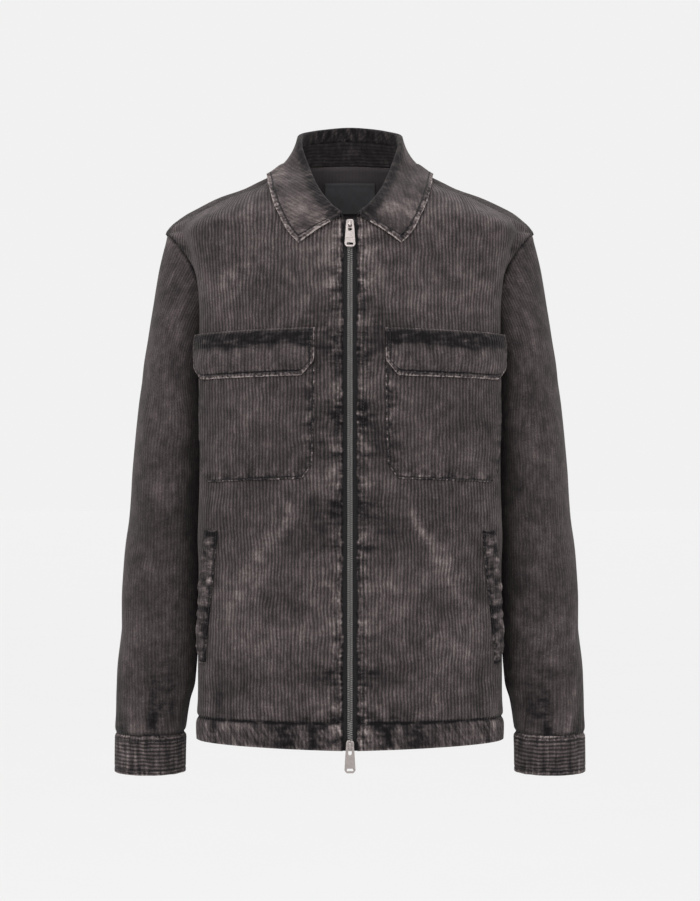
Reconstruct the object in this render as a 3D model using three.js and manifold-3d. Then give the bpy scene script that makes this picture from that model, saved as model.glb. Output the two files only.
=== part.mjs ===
// Corduroy zip jacket, filled out as it is worn, with no wearer in it.
// Millimetres, +Z up. The front faces -Y. The origin is the middle of the neck base, level with
// the high points of the shoulders. Shapes are worked out for the wearer's left half, on +X, and
// mirrored for the right half.
import * as THREE from 'three';
import Module from 'manifold-3d';
import { mergeVertices } from 'three/addons/utils/BufferGeometryUtils.js';

// Walls and gaps
const CLOTH = 2;
const SEAM_GAP = 0.3;
const SEAM_LEAN = 0.3;
const LAYER_GAP = 0.3;
const POCKET_CLOTH = 1.5;
const FLAP_RISE = 0.3;
const LABEL_CLOTH = 0.6;
const LABEL_GAP = 1.1;
const LABEL_WIDTH = 62;
const LABEL_HEIGHTS = [-14, -26, -38, -50];

// Zip
const ZIP_EDGE = 8;
const CHAIN_WIDTH = 6;
const CHAIN_DEPTH = 2.4;
const TAPE_THICKNESS = 0.9;
const TAPE_INNER = 3.3;
const TAPE_UNDER_FRONT = 6;

// Sliders and pull tabs
const SLIDER_WIDTH = 9.4;
const SLIDER_LENGTH = 12;
const SLIDER_PLATE = 2.6;
const SLIDER_GAP = 0.5;
const BAIL_WIDTH = 2.4;
const BAIL_OPENING = 2.6;
const BAIL_REACH = 3;
const BAIL_BAR = 1.2;
const PULL_LENGTH = 30;
const PULL_TOP_WIDTH = 9.5;
const PULL_END_WIDTH = 12.6;
const PULL_THICKNESS = 1.5;
const PULL_BAR = 1.5;
const PULL_SLOT_WIDTH = 4;
const PULL_SLOT_LENGTH = 8;
const PULL_PIVOT_DROP = 1.5;
const PULL_TOP_CORNER = [1.6, 1.4];
const PULL_END_CORNER = [2.4, 3.2];
const WINDOW_HALF_WIDTHS = [3.2, 4];
const WINDOW_HEIGHTS = [5.2, 2.4];
const TOP_SLIDER_HEIGHT = -84;
const BOTTOM_SLIDER_HEIGHT = -680;

// Armhole: an upright ring from the outer end of the shoulder seam down to the underarm
const ARMHOLE_SIDES = 20;
const ARMHOLE_TOP = { x: 218, y: -7, z: -86 };
const ARMHOLE_LOW = { x: 165, y: 8, z: -245 };
const ARMHOLE_FALL = 50;
const ARMHOLE_FRONT_REACH = 46;
const ARMHOLE_BACK_REACH = 72;

// Heights
const NECK_FRONT = -77;
const HEM_SEAM = -655;
const HEM_EDGE = -686;
const SLEEVE_LEVEL = -330;
const CUFF_SEAM = -680;
const CUFF_EDGE = -727;

// Reads a short table into rows with named columns
function table(names, rows) {
  return rows.map((row) => Object.fromEntries(names.map((name, i) => [name, row[i]])));
}

// Front contours in plan. Each starts at the neckline or the zip edge, turns at the fold in front
// of the sleeve, tucks in behind it and ends at the seam. Turns are directions in degrees from +X.
const FRONT_SECTIONS = table(
  ['height', 'startX', 'startY', 'startTurn', 'foldX', 'foldY', 'foldTurn', 'tuckTurn', 'seamTurn'], [
    [-5, 70, -6, 25, 74, -4, 35, 35, 50],
    [-14, 68, -17, 15, 80, -10, 42, 42, 55],
    [-28, 62, -38, 8, 93, -24, 42, 42, 55],
    [-42, 53, -56, 6, 124, -34, 42, 42, 55],
    [-56, 41, -73, 8, 152, -39, 50, 50, 58],
    [-67, 27, -87, 10, 173, -43, 60, 60, 60],
    [-77, ZIP_EDGE, -98, 10, 187, -46, 70, 70, 58],
    [-86, ZIP_EDGE, -102, 8, 193, -47, 76, 76, 52],
    [-117, ZIP_EDGE, -113, 3, 184.6, -56, 86, 88, 60],
    [-145, ZIP_EDGE, -124, 1, 179.2, -62, 90, 98, 84],
    [-169, ZIP_EDGE, -132, 0, 176.3, -65, 92, 106, 90],
    [-191, ZIP_EDGE, -137, 0, 175.4, -66, 92, 112, 90],
    [-245, ZIP_EDGE, -141, 0, 175.3, -66, 92, 116, 86],
    [-404, ZIP_EDGE, -140, 0, 176, -63, 92, 114, 88],
    [-524, ZIP_EDGE, -140, 0, 177.3, -62, 92, 108, 88],
    [-686, ZIP_EDGE, -142, 0, 178.4, -62, 92, 102, 90],
  ]);

// Shoulder seam, lying forward of the shoulder's ridge, and side seam, seen in plan at each height
const SEAM_LINE = table(['height', 'x', 'y'], [
  [-5, 78, -1],
  [-14, 89, -3],
  [-28, 107, -6],
  [-42, 144, -8],
  [-56, 172, -8],
  [-67, 196, -8],
  [-77, 212, -8],
  [ARMHOLE_TOP.z, ARMHOLE_TOP.x, ARMHOLE_TOP.y],
  [ARMHOLE_LOW.z, ARMHOLE_LOW.x, ARMHOLE_LOW.y],
  [-300, 160, 8],
  [-404, 159, 6],
  [-524, 164, 4],
  [-620, 168, 4],
  [-686, 170, 4],
]);

// Back contours in plan. Each starts at the seam, passes the ridge or back corner (given from the
// seam) and the shoulder blade, and ends at the centre back.
const BACK_SECTIONS = table(
  ['height', 'seamTurn', 'cornerOut', 'cornerBack', 'cornerTurn', 'bladeX', 'bladeY', 'bladeTurn', 'backY'], [
    [-5, 60, -5, 12, 112, 50, 53, 142, 70],
    [-14, 58, 2.5, 12, 95, 66, 57, 142, 76],
    [-28, 45, 14, 14, 92, 86, 66, 147, 84],
    [-42, 45, 14.5, 16, 92, 104, 76, 152, 92],
    [-56, 45, 16, 16, 92, 116, 87, 155, 99],
    [-67, 52, 9, 16, 92, 122, 94, 157, 104],
    [-77, 60, 3, 16, 94, 125, 99, 158, 108],
    [-86, 68, 2, 14, 96, 126, 102, 159, 111],
    [-119, 104, -8, 15, 122, 122, 108, 161, 119],
    [-165, 128, -15, 14, 134, 112, 112, 163, 124],
    [-190, 126, -13, 13, 134, 108, 112, 163, 123],
    [-212, 118, -11, 15, 130, 104, 111, 164, 122],
    [-230, 110, -10, 23, 124, 102, 109, 164, 120],
    [-241, 100, -9, 38, 116, 100, 108, 164, 119],
    [-245, 90, -9, 58.5, 114, 100, 108, 164, 118.5],
    [-300, 90, -4, 53, 112, 98, 102, 164, 112],
    [-404, 90, -4, 48, 112, 97, 96, 164, 106],
    [-524, 90, -4, 54, 112, 100, 104, 164, 115],
    [-686, 90, -4, 58, 112, 104, 110, 164, 121],
  ]);

// How far the grain rows of a front are lifted beside the zip and at the fold, to follow the
// slant of the flap and pocket edges
const FRONT_SLANTS = table(['height', 'inner', 'outer'], [
  [-141, 0, 0],
  [-212, 8, 2],
  [-251, 5, -2],
  [-261, 3, -3],
  [-335, 0, 0],
  [-364, 6, -5],
  [-379, 4, -4],
  [-437, 0, 0],
  [HEM_SEAM, 0, 0],
  [HEM_EDGE, 0, 4],
]);

// Shares of the way from the zip edge to the fold at which the front's columns stand: the zip
// stitching, the pocket's inner edge and corner, three between, its outer corner and edge
const FRONT_COLUMNS = table(
  ['height', 'zip', 'stitch', 'inner', 'innerCorner', 'a', 'b', 'c', 'outerCorner', 'outer', 'fold'], [
    [-5, 0, 0.06, 0.17, 0.28, 0.41, 0.54, 0.67, 0.79, 0.9, 1],
    [-77, 0, 0.04, 0.158, 0.25, 0.41, 0.57, 0.73, 0.86, 0.94, 1],
    [-200, 0, 0.04, 0.158, 0.225, 0.41, 0.6, 0.78, 0.89, 0.955, 1],
    [-385, 0, 0.04, 0.158, 0.225, 0.41, 0.6, 0.78, 0.89, 0.955, 1],
    [-437, 0, 0.04, 0.158, 0.225, 0.36, 0.5, 0.63, 0.765, 0.85, 1],
    [-592, 0, 0.04, 0.158, 0.225, 0.39, 0.55, 0.7, 0.845, 0.914, 1],
    [-686, 0, 0.04, 0.158, 0.225, 0.39, 0.55, 0.7, 0.845, 0.914, 1],
  ]);
const FRONT_COLUMN_NAMES = [
  'zip', 'stitch', 'inner', 'innerCorner', 'a', 'b', 'c', 'outerCorner', 'outer', 'fold'];
const SIDE_COLUMNS = 4;
const CORNER_SHARES = [0, 0.5, 1];
const BLADE_SHARES = [0.25, 0.5, 0.75, 1];
const CENTRE_SHARES = [0.34, 0.67, 1];

// Sleeve sections: horizontal ovals, with the armhole ring blended into the first of them
const SLEEVE_SECTIONS = table(['height', 'outerX', 'innerX', 'halfDepth', 'centreY'], [
  [-86, 228, 165, 52, -2],
  [-104, 234, 165, 55, -1],
  [-140, 234.6, 165, 58, 0],
  [-164, 235.8, 165, 60, 0],
  [-212, 242, 165, 63, 1],
  [-245, 247.5, 168, 65, 1],
  [-284, 252, 171, 66, 0],
  [-356, 259, 174.5, 65, -1],
  [-404, 263, 176, 62, -2],
  [-452, 268, 178, 59, -4],
  [-524, 274, 180, 54, -7],
  [-584, 277.5, 181.5, 50, -10],
  [-621, 279, 185, 47, -12],
  [-644, 279.6, 192, 45, -13],
  [CUFF_SEAM, 279.8, 196.5, 42, -15],
  [CUFF_EDGE, 279.8, 197, 41, -15],
]);
const SLEEVE_TOP_SHARES = [0, 0.1, 0.22, 0.36, 0.54, 0.76, 1];
const SLEEVE_HEIGHTS = [-380, -430, -480, -530, -580, -625, -658, CUFF_SEAM];
const SLEEVE_BLEND = 0.45;
const SLEEVE_DEGREE = 0.9;
const FULL_TURN = 360;
const CUFF_HEIGHTS = [CUFF_SEAM, -695, -712, CUFF_EDGE];

// Rows of the body panels, from the neck to the hem seam, and of the hem bands
const SHOULDER_HEIGHTS = [-5, -14, -28, -42, -56, -67, NECK_FRONT];
const FLAP_TOP = -212;
const BODY_HEIGHTS = [-251, -261, -298, -335, -364, -379, -408, -437, -476, -515, -553, -592, -624, HEM_SEAM];
const HEM_HEIGHTS = [HEM_SEAM, -671, HEM_EDGE];

// Largest folds of each piece: soft troughs (depth above 0) and ridges (depth below 0), each from
// one place to another. Places on the body are x and height; on a sleeve they are the angle in
// degrees round from the shoulder over the back, and the height.
const FOLD_COLUMNS = ['from', 'fromHeight', 'to', 'toHeight', 'width', 'depth'];
const FRONT_FOLDS = table(FOLD_COLUMNS, [
  [60, -410, 150, -560, 24, 3.5],
  [30, -520, 120, -640, 26, 3],
  [150, -390, 172, -470, 16, -2.5],
  [30, -120, 150, -175, 26, 2],
]);
const BACK_FOLDS = table(FOLD_COLUMNS, [
  [150, -190, 70, -400, 30, 4],
  [40, -450, 150, -520, 24, 3.5],
  [20, -580, 120, -640, 22, 3],
]);
const SLEEVE_FOLDS = table(FOLD_COLUMNS, [
  [330, -250, 250, -330, 22, 4],
  [30, -360, 110, -440, 22, 3.5],
  [350, -420, 260, -490, 20, 4],
  [20, -520, 330, -590, 20, 3.5],
  [180, -520, 120, -600, 20, 3],
]);

// Collar stations along the neckline from the front end to the centre back: the crest of the fold
// and the outer edge of the fall. The last row lies beyond the centre, to level the crest there.
const COLLAR_SECTIONS = table(
  ['share', 'crestX', 'crestY', 'crestZ', 'edgeX', 'edgeY', 'edgeZ'], [
    [0, 12, -103, -70, 66, -111, -106],
    [0.13, 23, -88, -57, 79, -97, -80],
    [0.27, 36, -64, -38, 91, -67, -51],
    [0.42, 48, -33, -10, 98, -14, -22],
    [0.55, 59, 0, 24, 99, 14, -13],
    [0.66, 60, 26, 37, 90, 48, -9],
    [0.8, 42, 56, 47, 58, 80, -7],
    [1, 0, 71, 53.2, 0, 93, -6],
    [1.2, -42, 56, 47, -58, 80, -7],
  ]);

// Where the fall is drawn to between its fold and its edge: shares of the way out and down, and how
// far off it stands there. It hangs steeply beside the neck and lies flat on the chest.
const FALL_SECTIONS = table(['share', 'out', 'down', 'off'], [
  [0, 0.4, 0.4, 5],
  [0.27, 0.34, 0.44, 4],
  [0.42, 0.2, 0.6, 1],
  [0.66, 0.22, 0.6, 1],
  [0.8, 0.25, 0.6, 1.5],
  [1, 0.3, 0.6, 2.5],
]);
const STAND_SHARE = 0.62;
const STAND_FOOT = 0.6;
const STAND_FRONT_DIP = 1.8;
const FOLD_RADIUS = 3.5;
const FOLD_TURNS = [15, 90];
const FOLD_END_TURN = 165;
const FALL_CLEARANCE = 2.8;
const FALL_ROWS = [0.3, 0.65];
const RAY_START = 60;

// Colours read from the cloth and the metal
const CORDUROY = 0x4a4344;
const DARK_CORDUROY = 0x332f31;
const TAPE_BLACK = 0x1c1b1d;
const LABEL_GREY = 0x343236;
const METAL = 0xb8aca8;

const clamp = (value, low, high) => Math.min(high, Math.max(low, value));
const mix = (a, b, share) => a + (b - a) * share;
const smooth = (share) => {
  const s = clamp(share, 0, 1);
  return s * s * (3 - 2 * s);
};

// Value of a named column at a height, on a smooth curve through the rows that never overshoots
function at(rows, column, height, key = 'height') {
  const last = rows.length - 1;
  const sign = Math.sign(rows[last][key] - rows[0][key]);
  let i = 0;
  while (i < last - 1 && sign * (height - rows[i + 1][key]) > 0) i += 1;
  const slope = (k) => (rows[k + 1][column] - rows[k][column]) / (rows[k + 1][key] - rows[k][key]);
  const bend = (k) => {
    if (k === 0) return slope(0);
    if (k === last) return slope(last - 1);
    const before = slope(k - 1);
    const after = slope(k);
    return before * after <= 0 ? 0 : (2 * before * after) / (before + after);
  };
  const span = rows[i + 1][key] - rows[i][key];
  const t = clamp((height - rows[i][key]) / span, 0, 1);
  const t2 = t * t;
  const t3 = t2 * t;
  return (2 * t3 - 3 * t2 + 1) * rows[i][column] + (t3 - 2 * t2 + t) * span * bend(i)
    + (3 * t2 - 2 * t3) * rows[i + 1][column] + (t3 - t2) * span * bend(i + 1);
}

// Plan curve between two points with a direction in degrees at each
const CURVE_STEPS = 24;
function planCurve(a, aTurn, b, bTurn) {
  const heading = (turn) => new THREE.Vector2(Math.cos(turn * Math.PI / 180), Math.sin(turn * Math.PI / 180));
  const step = b.clone().sub(a);
  const handle = (way) => 0.55 * Math.max(Math.abs(step.dot(way)), 0.3 * step.length());
  const aWay = heading(aTurn);
  const bWay = heading(bTurn);
  return new THREE.CubicBezierCurve(
    a, a.clone().addScaledVector(aWay, handle(aWay)), b.clone().addScaledVector(bWay, -handle(bWay)), b);
}

// Point at a share of a plan curve's length
function along(curve, share) {
  curve.arcLengthDivisions = CURVE_STEPS;
  return curve.getPointAt(clamp(share, 0, 1));
}

// Armhole ring at an angle from the shoulder seam, over the back for angles up to 180 degrees
function armholePoint(angle) {
  const drop = (1 - Math.cos(angle)) / 2;
  const z = mix(ARMHOLE_TOP.z, ARMHOLE_LOW.z, drop);
  const end = Math.exp((ARMHOLE_LOW.z - ARMHOLE_TOP.z) / ARMHOLE_FALL);
  const nearness = (Math.exp((z - ARMHOLE_TOP.z) / ARMHOLE_FALL) - end) / (1 - end);
  const reach = Math.sin(angle) > 0 ? ARMHOLE_BACK_REACH : ARMHOLE_FRONT_REACH;
  const y = mix(ARMHOLE_TOP.y, ARMHOLE_LOW.y, drop) + reach * Math.sin(angle);
  return new THREE.Vector3(mix(ARMHOLE_LOW.x, ARMHOLE_TOP.x, nearness), y, z);
}

// Where a panel's contour ends or starts at a height: on the shoulder seam, the armhole's front or
// back, or the side seam
function seamPoint(height, side) {
  if (height < ARMHOLE_TOP.z && height > ARMHOLE_LOW.z) {
    const drop = (height - ARMHOLE_TOP.z) / (ARMHOLE_LOW.z - ARMHOLE_TOP.z);
    const point = armholePoint(side * Math.acos(1 - 2 * drop));
    return new THREE.Vector2(point.x, point.y);
  }
  return new THREE.Vector2(at(SEAM_LINE, 'x', height), at(SEAM_LINE, 'y', height));
}

// Depth of the folds at a place, with each fold fading out towards its ends. The place across may
// be in another unit than millimetres, and may go round and start again.
function foldDepth(folds, across, height, unit = 1, around = 0) {
  let depth = 0;
  for (const fold of folds) {
    const a = new THREE.Vector2(0, fold.fromHeight);
    let run = fold.to - fold.from;
    let place = across - fold.from;
    if (around) {
      run -= around * Math.round(run / around);
      place -= around * Math.round(place / around);
    }
    const b = new THREE.Vector2(run * unit, fold.toHeight);
    const p = new THREE.Vector2(place * unit, height);
    const line = b.clone().sub(a);
    const share = p.clone().sub(a).dot(line) / line.lengthSq();
    const off = p.distanceTo(a.clone().addScaledVector(line, clamp(share, 0, 1)));
    const fade = smooth(1.25 - Math.abs(share - 0.5) * 2);
    depth += fold.depth * fade * Math.exp(-((off / fold.width) ** 2));
  }
  return depth;
}

// Front contour: 0 to 1 runs from the start to the fold, 1 to 2 from the fold to the seam
function frontPoint(height, place) {
  const column = (name) => at(FRONT_SECTIONS, name, height);
  const start = new THREE.Vector2(column('startX'), column('startY'));
  const fold = new THREE.Vector2(column('foldX'), column('foldY'));
  const seam = seamPoint(height, -1);
  const curve = place <= 1
    ? planCurve(start, column('startTurn'), fold, column('foldTurn'))
    : planCurve(fold, column('tuckTurn'), seam, column('seamTurn'));
  const flat = along(curve, place <= 1 ? place : place - 1);
  const inner = at(FRONT_SLANTS, 'inner', height);
  const outer = at(FRONT_SLANTS, 'outer', height);
  const lift = place <= 1 ? mix(inner, outer, place) : mix(outer, 0, place - 1);
  return new THREE.Vector3(flat.x, flat.y, height + lift);
}

// Back contour: 0 to 1 runs from the seam to the corner, 1 to 2 to the blade, 2 to 3 to the centre
function backPoint(height, place) {
  const column = (name) => at(BACK_SECTIONS, name, height);
  const seam = seamPoint(height, 1);
  const corner = new THREE.Vector2(seam.x + column('cornerOut'), seam.y + column('cornerBack'));
  const blade = new THREE.Vector2(column('bladeX'), column('bladeY'));
  const centre = new THREE.Vector2(0, column('backY'));
  const parts = [
    [seam, column('seamTurn'), corner, column('cornerTurn')],
    [corner, column('cornerTurn'), blade, column('bladeTurn')],
    [blade, column('bladeTurn'), centre, 180],
  ];
  const part = Math.min(2, Math.floor(place));
  const flat = along(planCurve(...parts[part]), place - part);
  const neckLift = 10 * (1 - smooth((SHOULDER_HEIGHTS[0] - height) / 9)) * smooth((place - 0.6) / 2.4);
  return new THREE.Vector3(flat.x, flat.y, height + neckLift);
}

// Sleeve ring at a share of the way from the armhole to the level where rings lie flat
function sleeveTopPoint(share, angle) {
  const ring = armholePoint(angle);
  const z = mix(ring.z, SLEEVE_LEVEL, share);
  const oval = sleevePoint(z, angle);
  const blend = 1 - (1 - clamp(share / SLEEVE_BLEND, 0, 1)) ** 2;
  return new THREE.Vector3(mix(ring.x, oval.x, blend), mix(ring.y, oval.y, blend), z);
}

function sleevePoint(height, angle) {
  const outer = at(SLEEVE_SECTIONS, 'outerX', height);
  const inner = at(SLEEVE_SECTIONS, 'innerX', height);
  const x = (outer + inner) / 2 + (outer - inner) / 2 * Math.cos(angle);
  const depth = at(SLEEVE_SECTIONS, 'halfDepth', height);
  const y = at(SLEEVE_SECTIONS, 'centreY', height) + depth * Math.sin(angle);
  return new THREE.Vector3(x, y, height);
}

// A skin is a grid of points seen from its outer side, with the rows going down
function makeSkin(rows, wraps = false) {
  const skin = { rows, wraps, shift: new Map(), lean: new Map() };
  skin.normals = rows.map((row, r) => row.map((_, c) => gridNormal(skin, r, c)));
  return skin;
}

function gridPoint(skin, r, c) {
  const count = skin.rows[0].length;
  const column = skin.wraps ? (c + count) % count : clamp(c, 0, count - 1);
  return skin.rows[clamp(r, 0, skin.rows.length - 1)][column];
}

function gridNormal(skin, r, c) {
  const down = gridPoint(skin, r + 1, c).clone().sub(gridPoint(skin, r - 1, c));
  const across = gridPoint(skin, r, c + 1).clone().sub(gridPoint(skin, r, c - 1));
  return down.cross(across).normalize();
}

// Moves every point of a skin in along its normal by the fold depth given for it
function foldSkin(skin, depthAt) {
  const rows = skin.rows.map((row, r) => row.map((point, c) => (
    point.clone().addScaledVector(skin.normals[r][c], -depthAt(point, r, c)))));
  return makeSkin(rows, skin.wraps);
}

// Parts two skins that share a seam point: each moves half the seam gap away from the other, and
// where they meet at an outward edge both walls lean to the same mitre
function partSeam(a, aSpot, aInside, b, bSpot, bInside) {
  const pa = a.rows[aSpot[0]][aSpot[1]];
  const pb = b.rows[bSpot[0]][bSpot[1]];
  const na = a.normals[aSpot[0]][aSpot[1]];
  const nb = b.normals[bSpot[0]][bSpot[1]];
  const wayA = gridPoint(a, ...aInside).clone().sub(pa).normalize();
  const wayB = gridPoint(b, ...bInside).clone().sub(pb).normalize();
  const apart = wayA.clone().sub(wayB)
    .addScaledVector(na, -SEAM_LEAN).addScaledVector(nb, SEAM_LEAN).normalize();
  addTo(a.shift, aSpot, apart.clone().multiplyScalar(SEAM_GAP / 2));
  addTo(b.shift, bSpot, apart.clone().multiplyScalar(-SEAM_GAP / 2));
  const outwardEdge = wayA.dot(nb) < 0.02;
  const mitre = na.clone().add(nb).normalize();
  addTo(a.lean, aSpot, outwardEdge ? mitre : na.clone());
  addTo(b.lean, bSpot, outwardEdge ? mitre.clone() : nb.clone());
}

function addTo(map, spot, vector) {
  const key = spot.join();
  map.set(key, map.has(key) ? map.get(key).add(vector) : vector);
}

// Wall on a skin between two levels measured out from it. Cells that the shape leaves out are
// given by skip, which may name the corner that a cell loses.
function wallMesh(skin, outerLevel, innerLevel, skip = () => null) {
  const columns = skin.rows[0].length;
  const outer = [];
  const inner = [];
  skin.rows.forEach((row, r) => row.forEach((point, c) => {
    const key = `${r},${c}`;
    const normal = (skin.lean.get(key) || skin.normals[r][c]).clone().normalize();
    const base = skin.shift.has(key) ? point.clone().add(skin.shift.get(key)) : point;
    const level = (value) => (typeof value === 'function' ? value(r, c) : value);
    outer.push(base.clone().addScaledVector(normal, level(outerLevel)));
    inner.push(base.clone().addScaledVector(normal, level(innerLevel)));
  }));
  const triangles = [];
  const lastColumn = skin.wraps ? columns : columns - 1;
  for (let r = 0; r < skin.rows.length - 1; r += 1) {
    for (let c = 0; c < lastColumn; c += 1) {
      const next = (c + 1) % columns;
      const [above, below] = [r * columns, (r + 1) * columns];
      const corners = { nw: above + c, sw: below + c, se: below + next, ne: above + next };
      const lost = skip(r, c);
      if (lost === 'sw') triangles.push([corners.nw, corners.se, corners.ne]);
      else if (lost === 'se') triangles.push([corners.nw, corners.sw, corners.ne]);
      else if (lost === null) {
        triangles.push([corners.nw, corners.sw, corners.ne], [corners.sw, corners.se, corners.ne]);
      }
    }
  }
  return closeWall(outer, inner, triangles);
}

// Closed body between an outer and an inner layer of points
function closeWall(outer, inner, triangles) {
  const count = outer.length;
  const faces = [];
  const edges = new Set();
  for (const [a, b, c] of triangles) {
    faces.push(a, b, c, count + a, count + c, count + b);
    edges.add(`${a},${b}`).add(`${b},${c}`).add(`${c},${a}`);
  }
  for (const edge of edges) {
    const [a, b] = edge.split(',').map(Number);
    if (!edges.has(`${b},${a}`)) faces.push(b, a, count + a, b, count + a, count + b);
  }
  const geometry = new THREE.BufferGeometry();
  const places = [...outer, ...inner].flatMap((p) => p.toArray());
  geometry.setAttribute('position', new THREE.Float32BufferAttribute(places, 3));
  geometry.setIndex(faces);
  return dropUnused(geometry);
}

// Leaves only the points that faces use
function dropUnused(geometry) {
  const index = [...geometry.index.array];
  const position = geometry.getAttribute('position');
  const kept = new Map();
  const points = [];
  for (const i of index) {
    if (kept.has(i)) continue;
    kept.set(i, kept.size);
    points.push(position.getX(i), position.getY(i), position.getZ(i));
  }
  const tidy = new THREE.BufferGeometry();
  tidy.setAttribute('position', new THREE.Float32BufferAttribute(points, 3));
  tidy.setIndex(index.map((i) => kept.get(i)));
  return tidy;
}

function mirrored(geometry) {
  const copy = geometry.clone();
  copy.scale(-1, 1, 1);
  const index = copy.index.array;
  for (let i = 0; i < index.length; i += 3) [index[i + 1], index[i + 2]] = [index[i + 2], index[i + 1]];
  return copy;
}

// A row that ends on the centre line, carried on over the other half
function withMirror(half) {
  const other = half.slice(0, -1).reverse().map((point) => new THREE.Vector3(-point.x, point.y, point.z));
  return [...half, ...other];
}

const jacket = new THREE.Group();
const cloth = (color) => new THREE.MeshStandardMaterial({ color, roughness: 0.95, metalness: 0 });
const metal = () => new THREE.MeshStandardMaterial({ color: METAL, roughness: 0.32, metalness: 1 });

function addPiece(name, geometry, material, group = jacket) {
  const mesh = new THREE.Mesh(geometry, material);
  mesh.name = name;
  group.add(mesh);
  return mesh;
}

function addPair(name, geometry, color) {
  addPiece(`${name}_left`, geometry, cloth(color));
  addPiece(`${name}_right`, mirrored(geometry), cloth(color));
}

// Heights of the armhole's points, from the shoulder to the underarm
const ARMHOLE_HEIGHTS = Array.from({ length: ARMHOLE_SIDES / 2 + 1 }, (_, k) => (
  armholePoint((k / ARMHOLE_SIDES) * 2 * Math.PI).z));
const PANEL_HEIGHTS = [...SHOULDER_HEIGHTS, ...ARMHOLE_HEIGHTS, ...BODY_HEIGHTS];
const TOP_ROW = SHOULDER_HEIGHTS.length;
const LOW_ROW = TOP_ROW + ARMHOLE_SIDES / 2;
const FOLD_COLUMN = FRONT_COLUMN_NAMES.length - 1;
const SIDE_COLUMN = FOLD_COLUMN + SIDE_COLUMNS;

function frontPlaces(height) {
  const places = FRONT_COLUMN_NAMES.map((name) => at(FRONT_COLUMNS, name, height));
  for (let k = 1; k <= SIDE_COLUMNS; k += 1) places.push(1 + k / SIDE_COLUMNS);
  return places;
}

const BACK_HALF_PLACES = [
  ...CORNER_SHARES, ...BLADE_SHARES.map((share) => 1 + share), ...CENTRE_SHARES.map((share) => 2 + share)];

function frontSkin(heights) {
  const rows = heights.map((height) => frontPlaces(height).map((place) => frontPoint(height, place)));
  const skin = makeSkin(rows);
  return foldSkin(skin, (point, r, c) => (
    c === 0 || c === SIDE_COLUMN ? 0 : foldDepth(FRONT_FOLDS, point.x, point.z)));
}

// The back is one piece: its left half from the left seam, then its right half back to the seam
function backSkin(heights) {
  const rows = heights.map((height) => {
    const half = BACK_HALF_PLACES.map((place) => backPoint(height, place));
    const other = half.slice(0, -1).reverse().map((point) => new THREE.Vector3(-point.x, point.y, point.z));
    return [...half, ...other];
  });
  const last = rows[0].length - 1;
  return foldSkin(makeSkin(rows), (point, r, c) => (
    c === 0 || c === last ? 0 : foldDepth(BACK_FOLDS, Math.abs(point.x), point.z)));
}

function sleeveSkin() {
  const angles = Array.from({ length: ARMHOLE_SIDES }, (_, k) => (k / ARMHOLE_SIDES) * 2 * Math.PI);
  const rows = [
    ...SLEEVE_TOP_SHARES.map((share) => angles.map((angle) => sleeveTopPoint(share, angle))),
    ...SLEEVE_HEIGHTS.map((height) => angles.map((angle) => sleevePoint(height, angle))),
  ];
  const lastRow = rows.length - 1;
  return foldSkin(makeSkin(rows, true), (point, r, c) => (
    r === 0 || r === lastRow ? 0
      : foldDepth(SLEEVE_FOLDS, c * FULL_TURN / ARMHOLE_SIDES, point.z, SLEEVE_DEGREE, FULL_TURN)));
}

function cuffSkin() {
  const angles = Array.from({ length: ARMHOLE_SIDES }, (_, k) => (k / ARMHOLE_SIDES) * 2 * Math.PI);
  return makeSkin(CUFF_HEIGHTS.map((height) => angles.map((angle) => sleevePoint(height, angle))), true);
}

const front = frontSkin(PANEL_HEIGHTS);
const back = backSkin(PANEL_HEIGHTS);
const sleeve = sleeveSkin();
const cuff = cuffSkin();
const hemFront = frontSkin(HEM_HEIGHTS);
const hemBack = backSkin(HEM_HEIGHTS);
const BACK_LAST = back.rows[0].length - 1;

// Seams. The back's right half repeats what its left half gets.
function mirrorSeams(skin) {
  const last = skin.rows[0].length - 1;
  for (const map of [skin.shift, skin.lean]) {
    for (const [key, vector] of [...map]) {
      const [r, c] = key.split(',').map(Number);
      if (c < last / 2) map.set(`${r},${last - c}`, new THREE.Vector3(-vector.x, vector.y, vector.z));
    }
  }
}

PANEL_HEIGHTS.forEach((height, r) => {
  if (r <= TOP_ROW || r >= LOW_ROW) {
    partSeam(front, [r, SIDE_COLUMN], [r, SIDE_COLUMN - 1], back, [r, 0], [r, 1]);
  }
});
for (let k = 0; k <= ARMHOLE_SIDES / 2; k += 1) {
  const frontRing = (ARMHOLE_SIDES - k) % ARMHOLE_SIDES;
  const row = TOP_ROW + k;
  partSeam(front, [row, SIDE_COLUMN], [row, SIDE_COLUMN - 1], sleeve, [0, frontRing], [1, frontRing]);
  partSeam(back, [TOP_ROW + k, 0], [TOP_ROW + k, 1], sleeve, [0, k], [1, k]);
}
const SEAM_ROW = PANEL_HEIGHTS.length - 1;
front.rows[SEAM_ROW].forEach((_, c) => (
  partSeam(front, [SEAM_ROW, c], [SEAM_ROW - 1, c], hemFront, [0, c], [1, c])));
for (let c = 0; c <= BACK_LAST / 2; c += 1) {
  partSeam(back, [SEAM_ROW, c], [SEAM_ROW - 1, c], hemBack, [0, c], [1, c]);
}
HEM_HEIGHTS.forEach((_, r) => (
  partSeam(hemFront, [r, SIDE_COLUMN], [r, SIDE_COLUMN - 1], hemBack, [r, 0], [r, 1])));
const LAST_SLEEVE_ROW = sleeve.rows.length - 1;
cuff.rows[0].forEach((_, c) => (
  partSeam(sleeve, [LAST_SLEEVE_ROW, c], [LAST_SLEEVE_ROW - 1, c], cuff, [0, c], [1, c])));
mirrorSeams(back);
mirrorSeams(hemBack);

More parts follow.
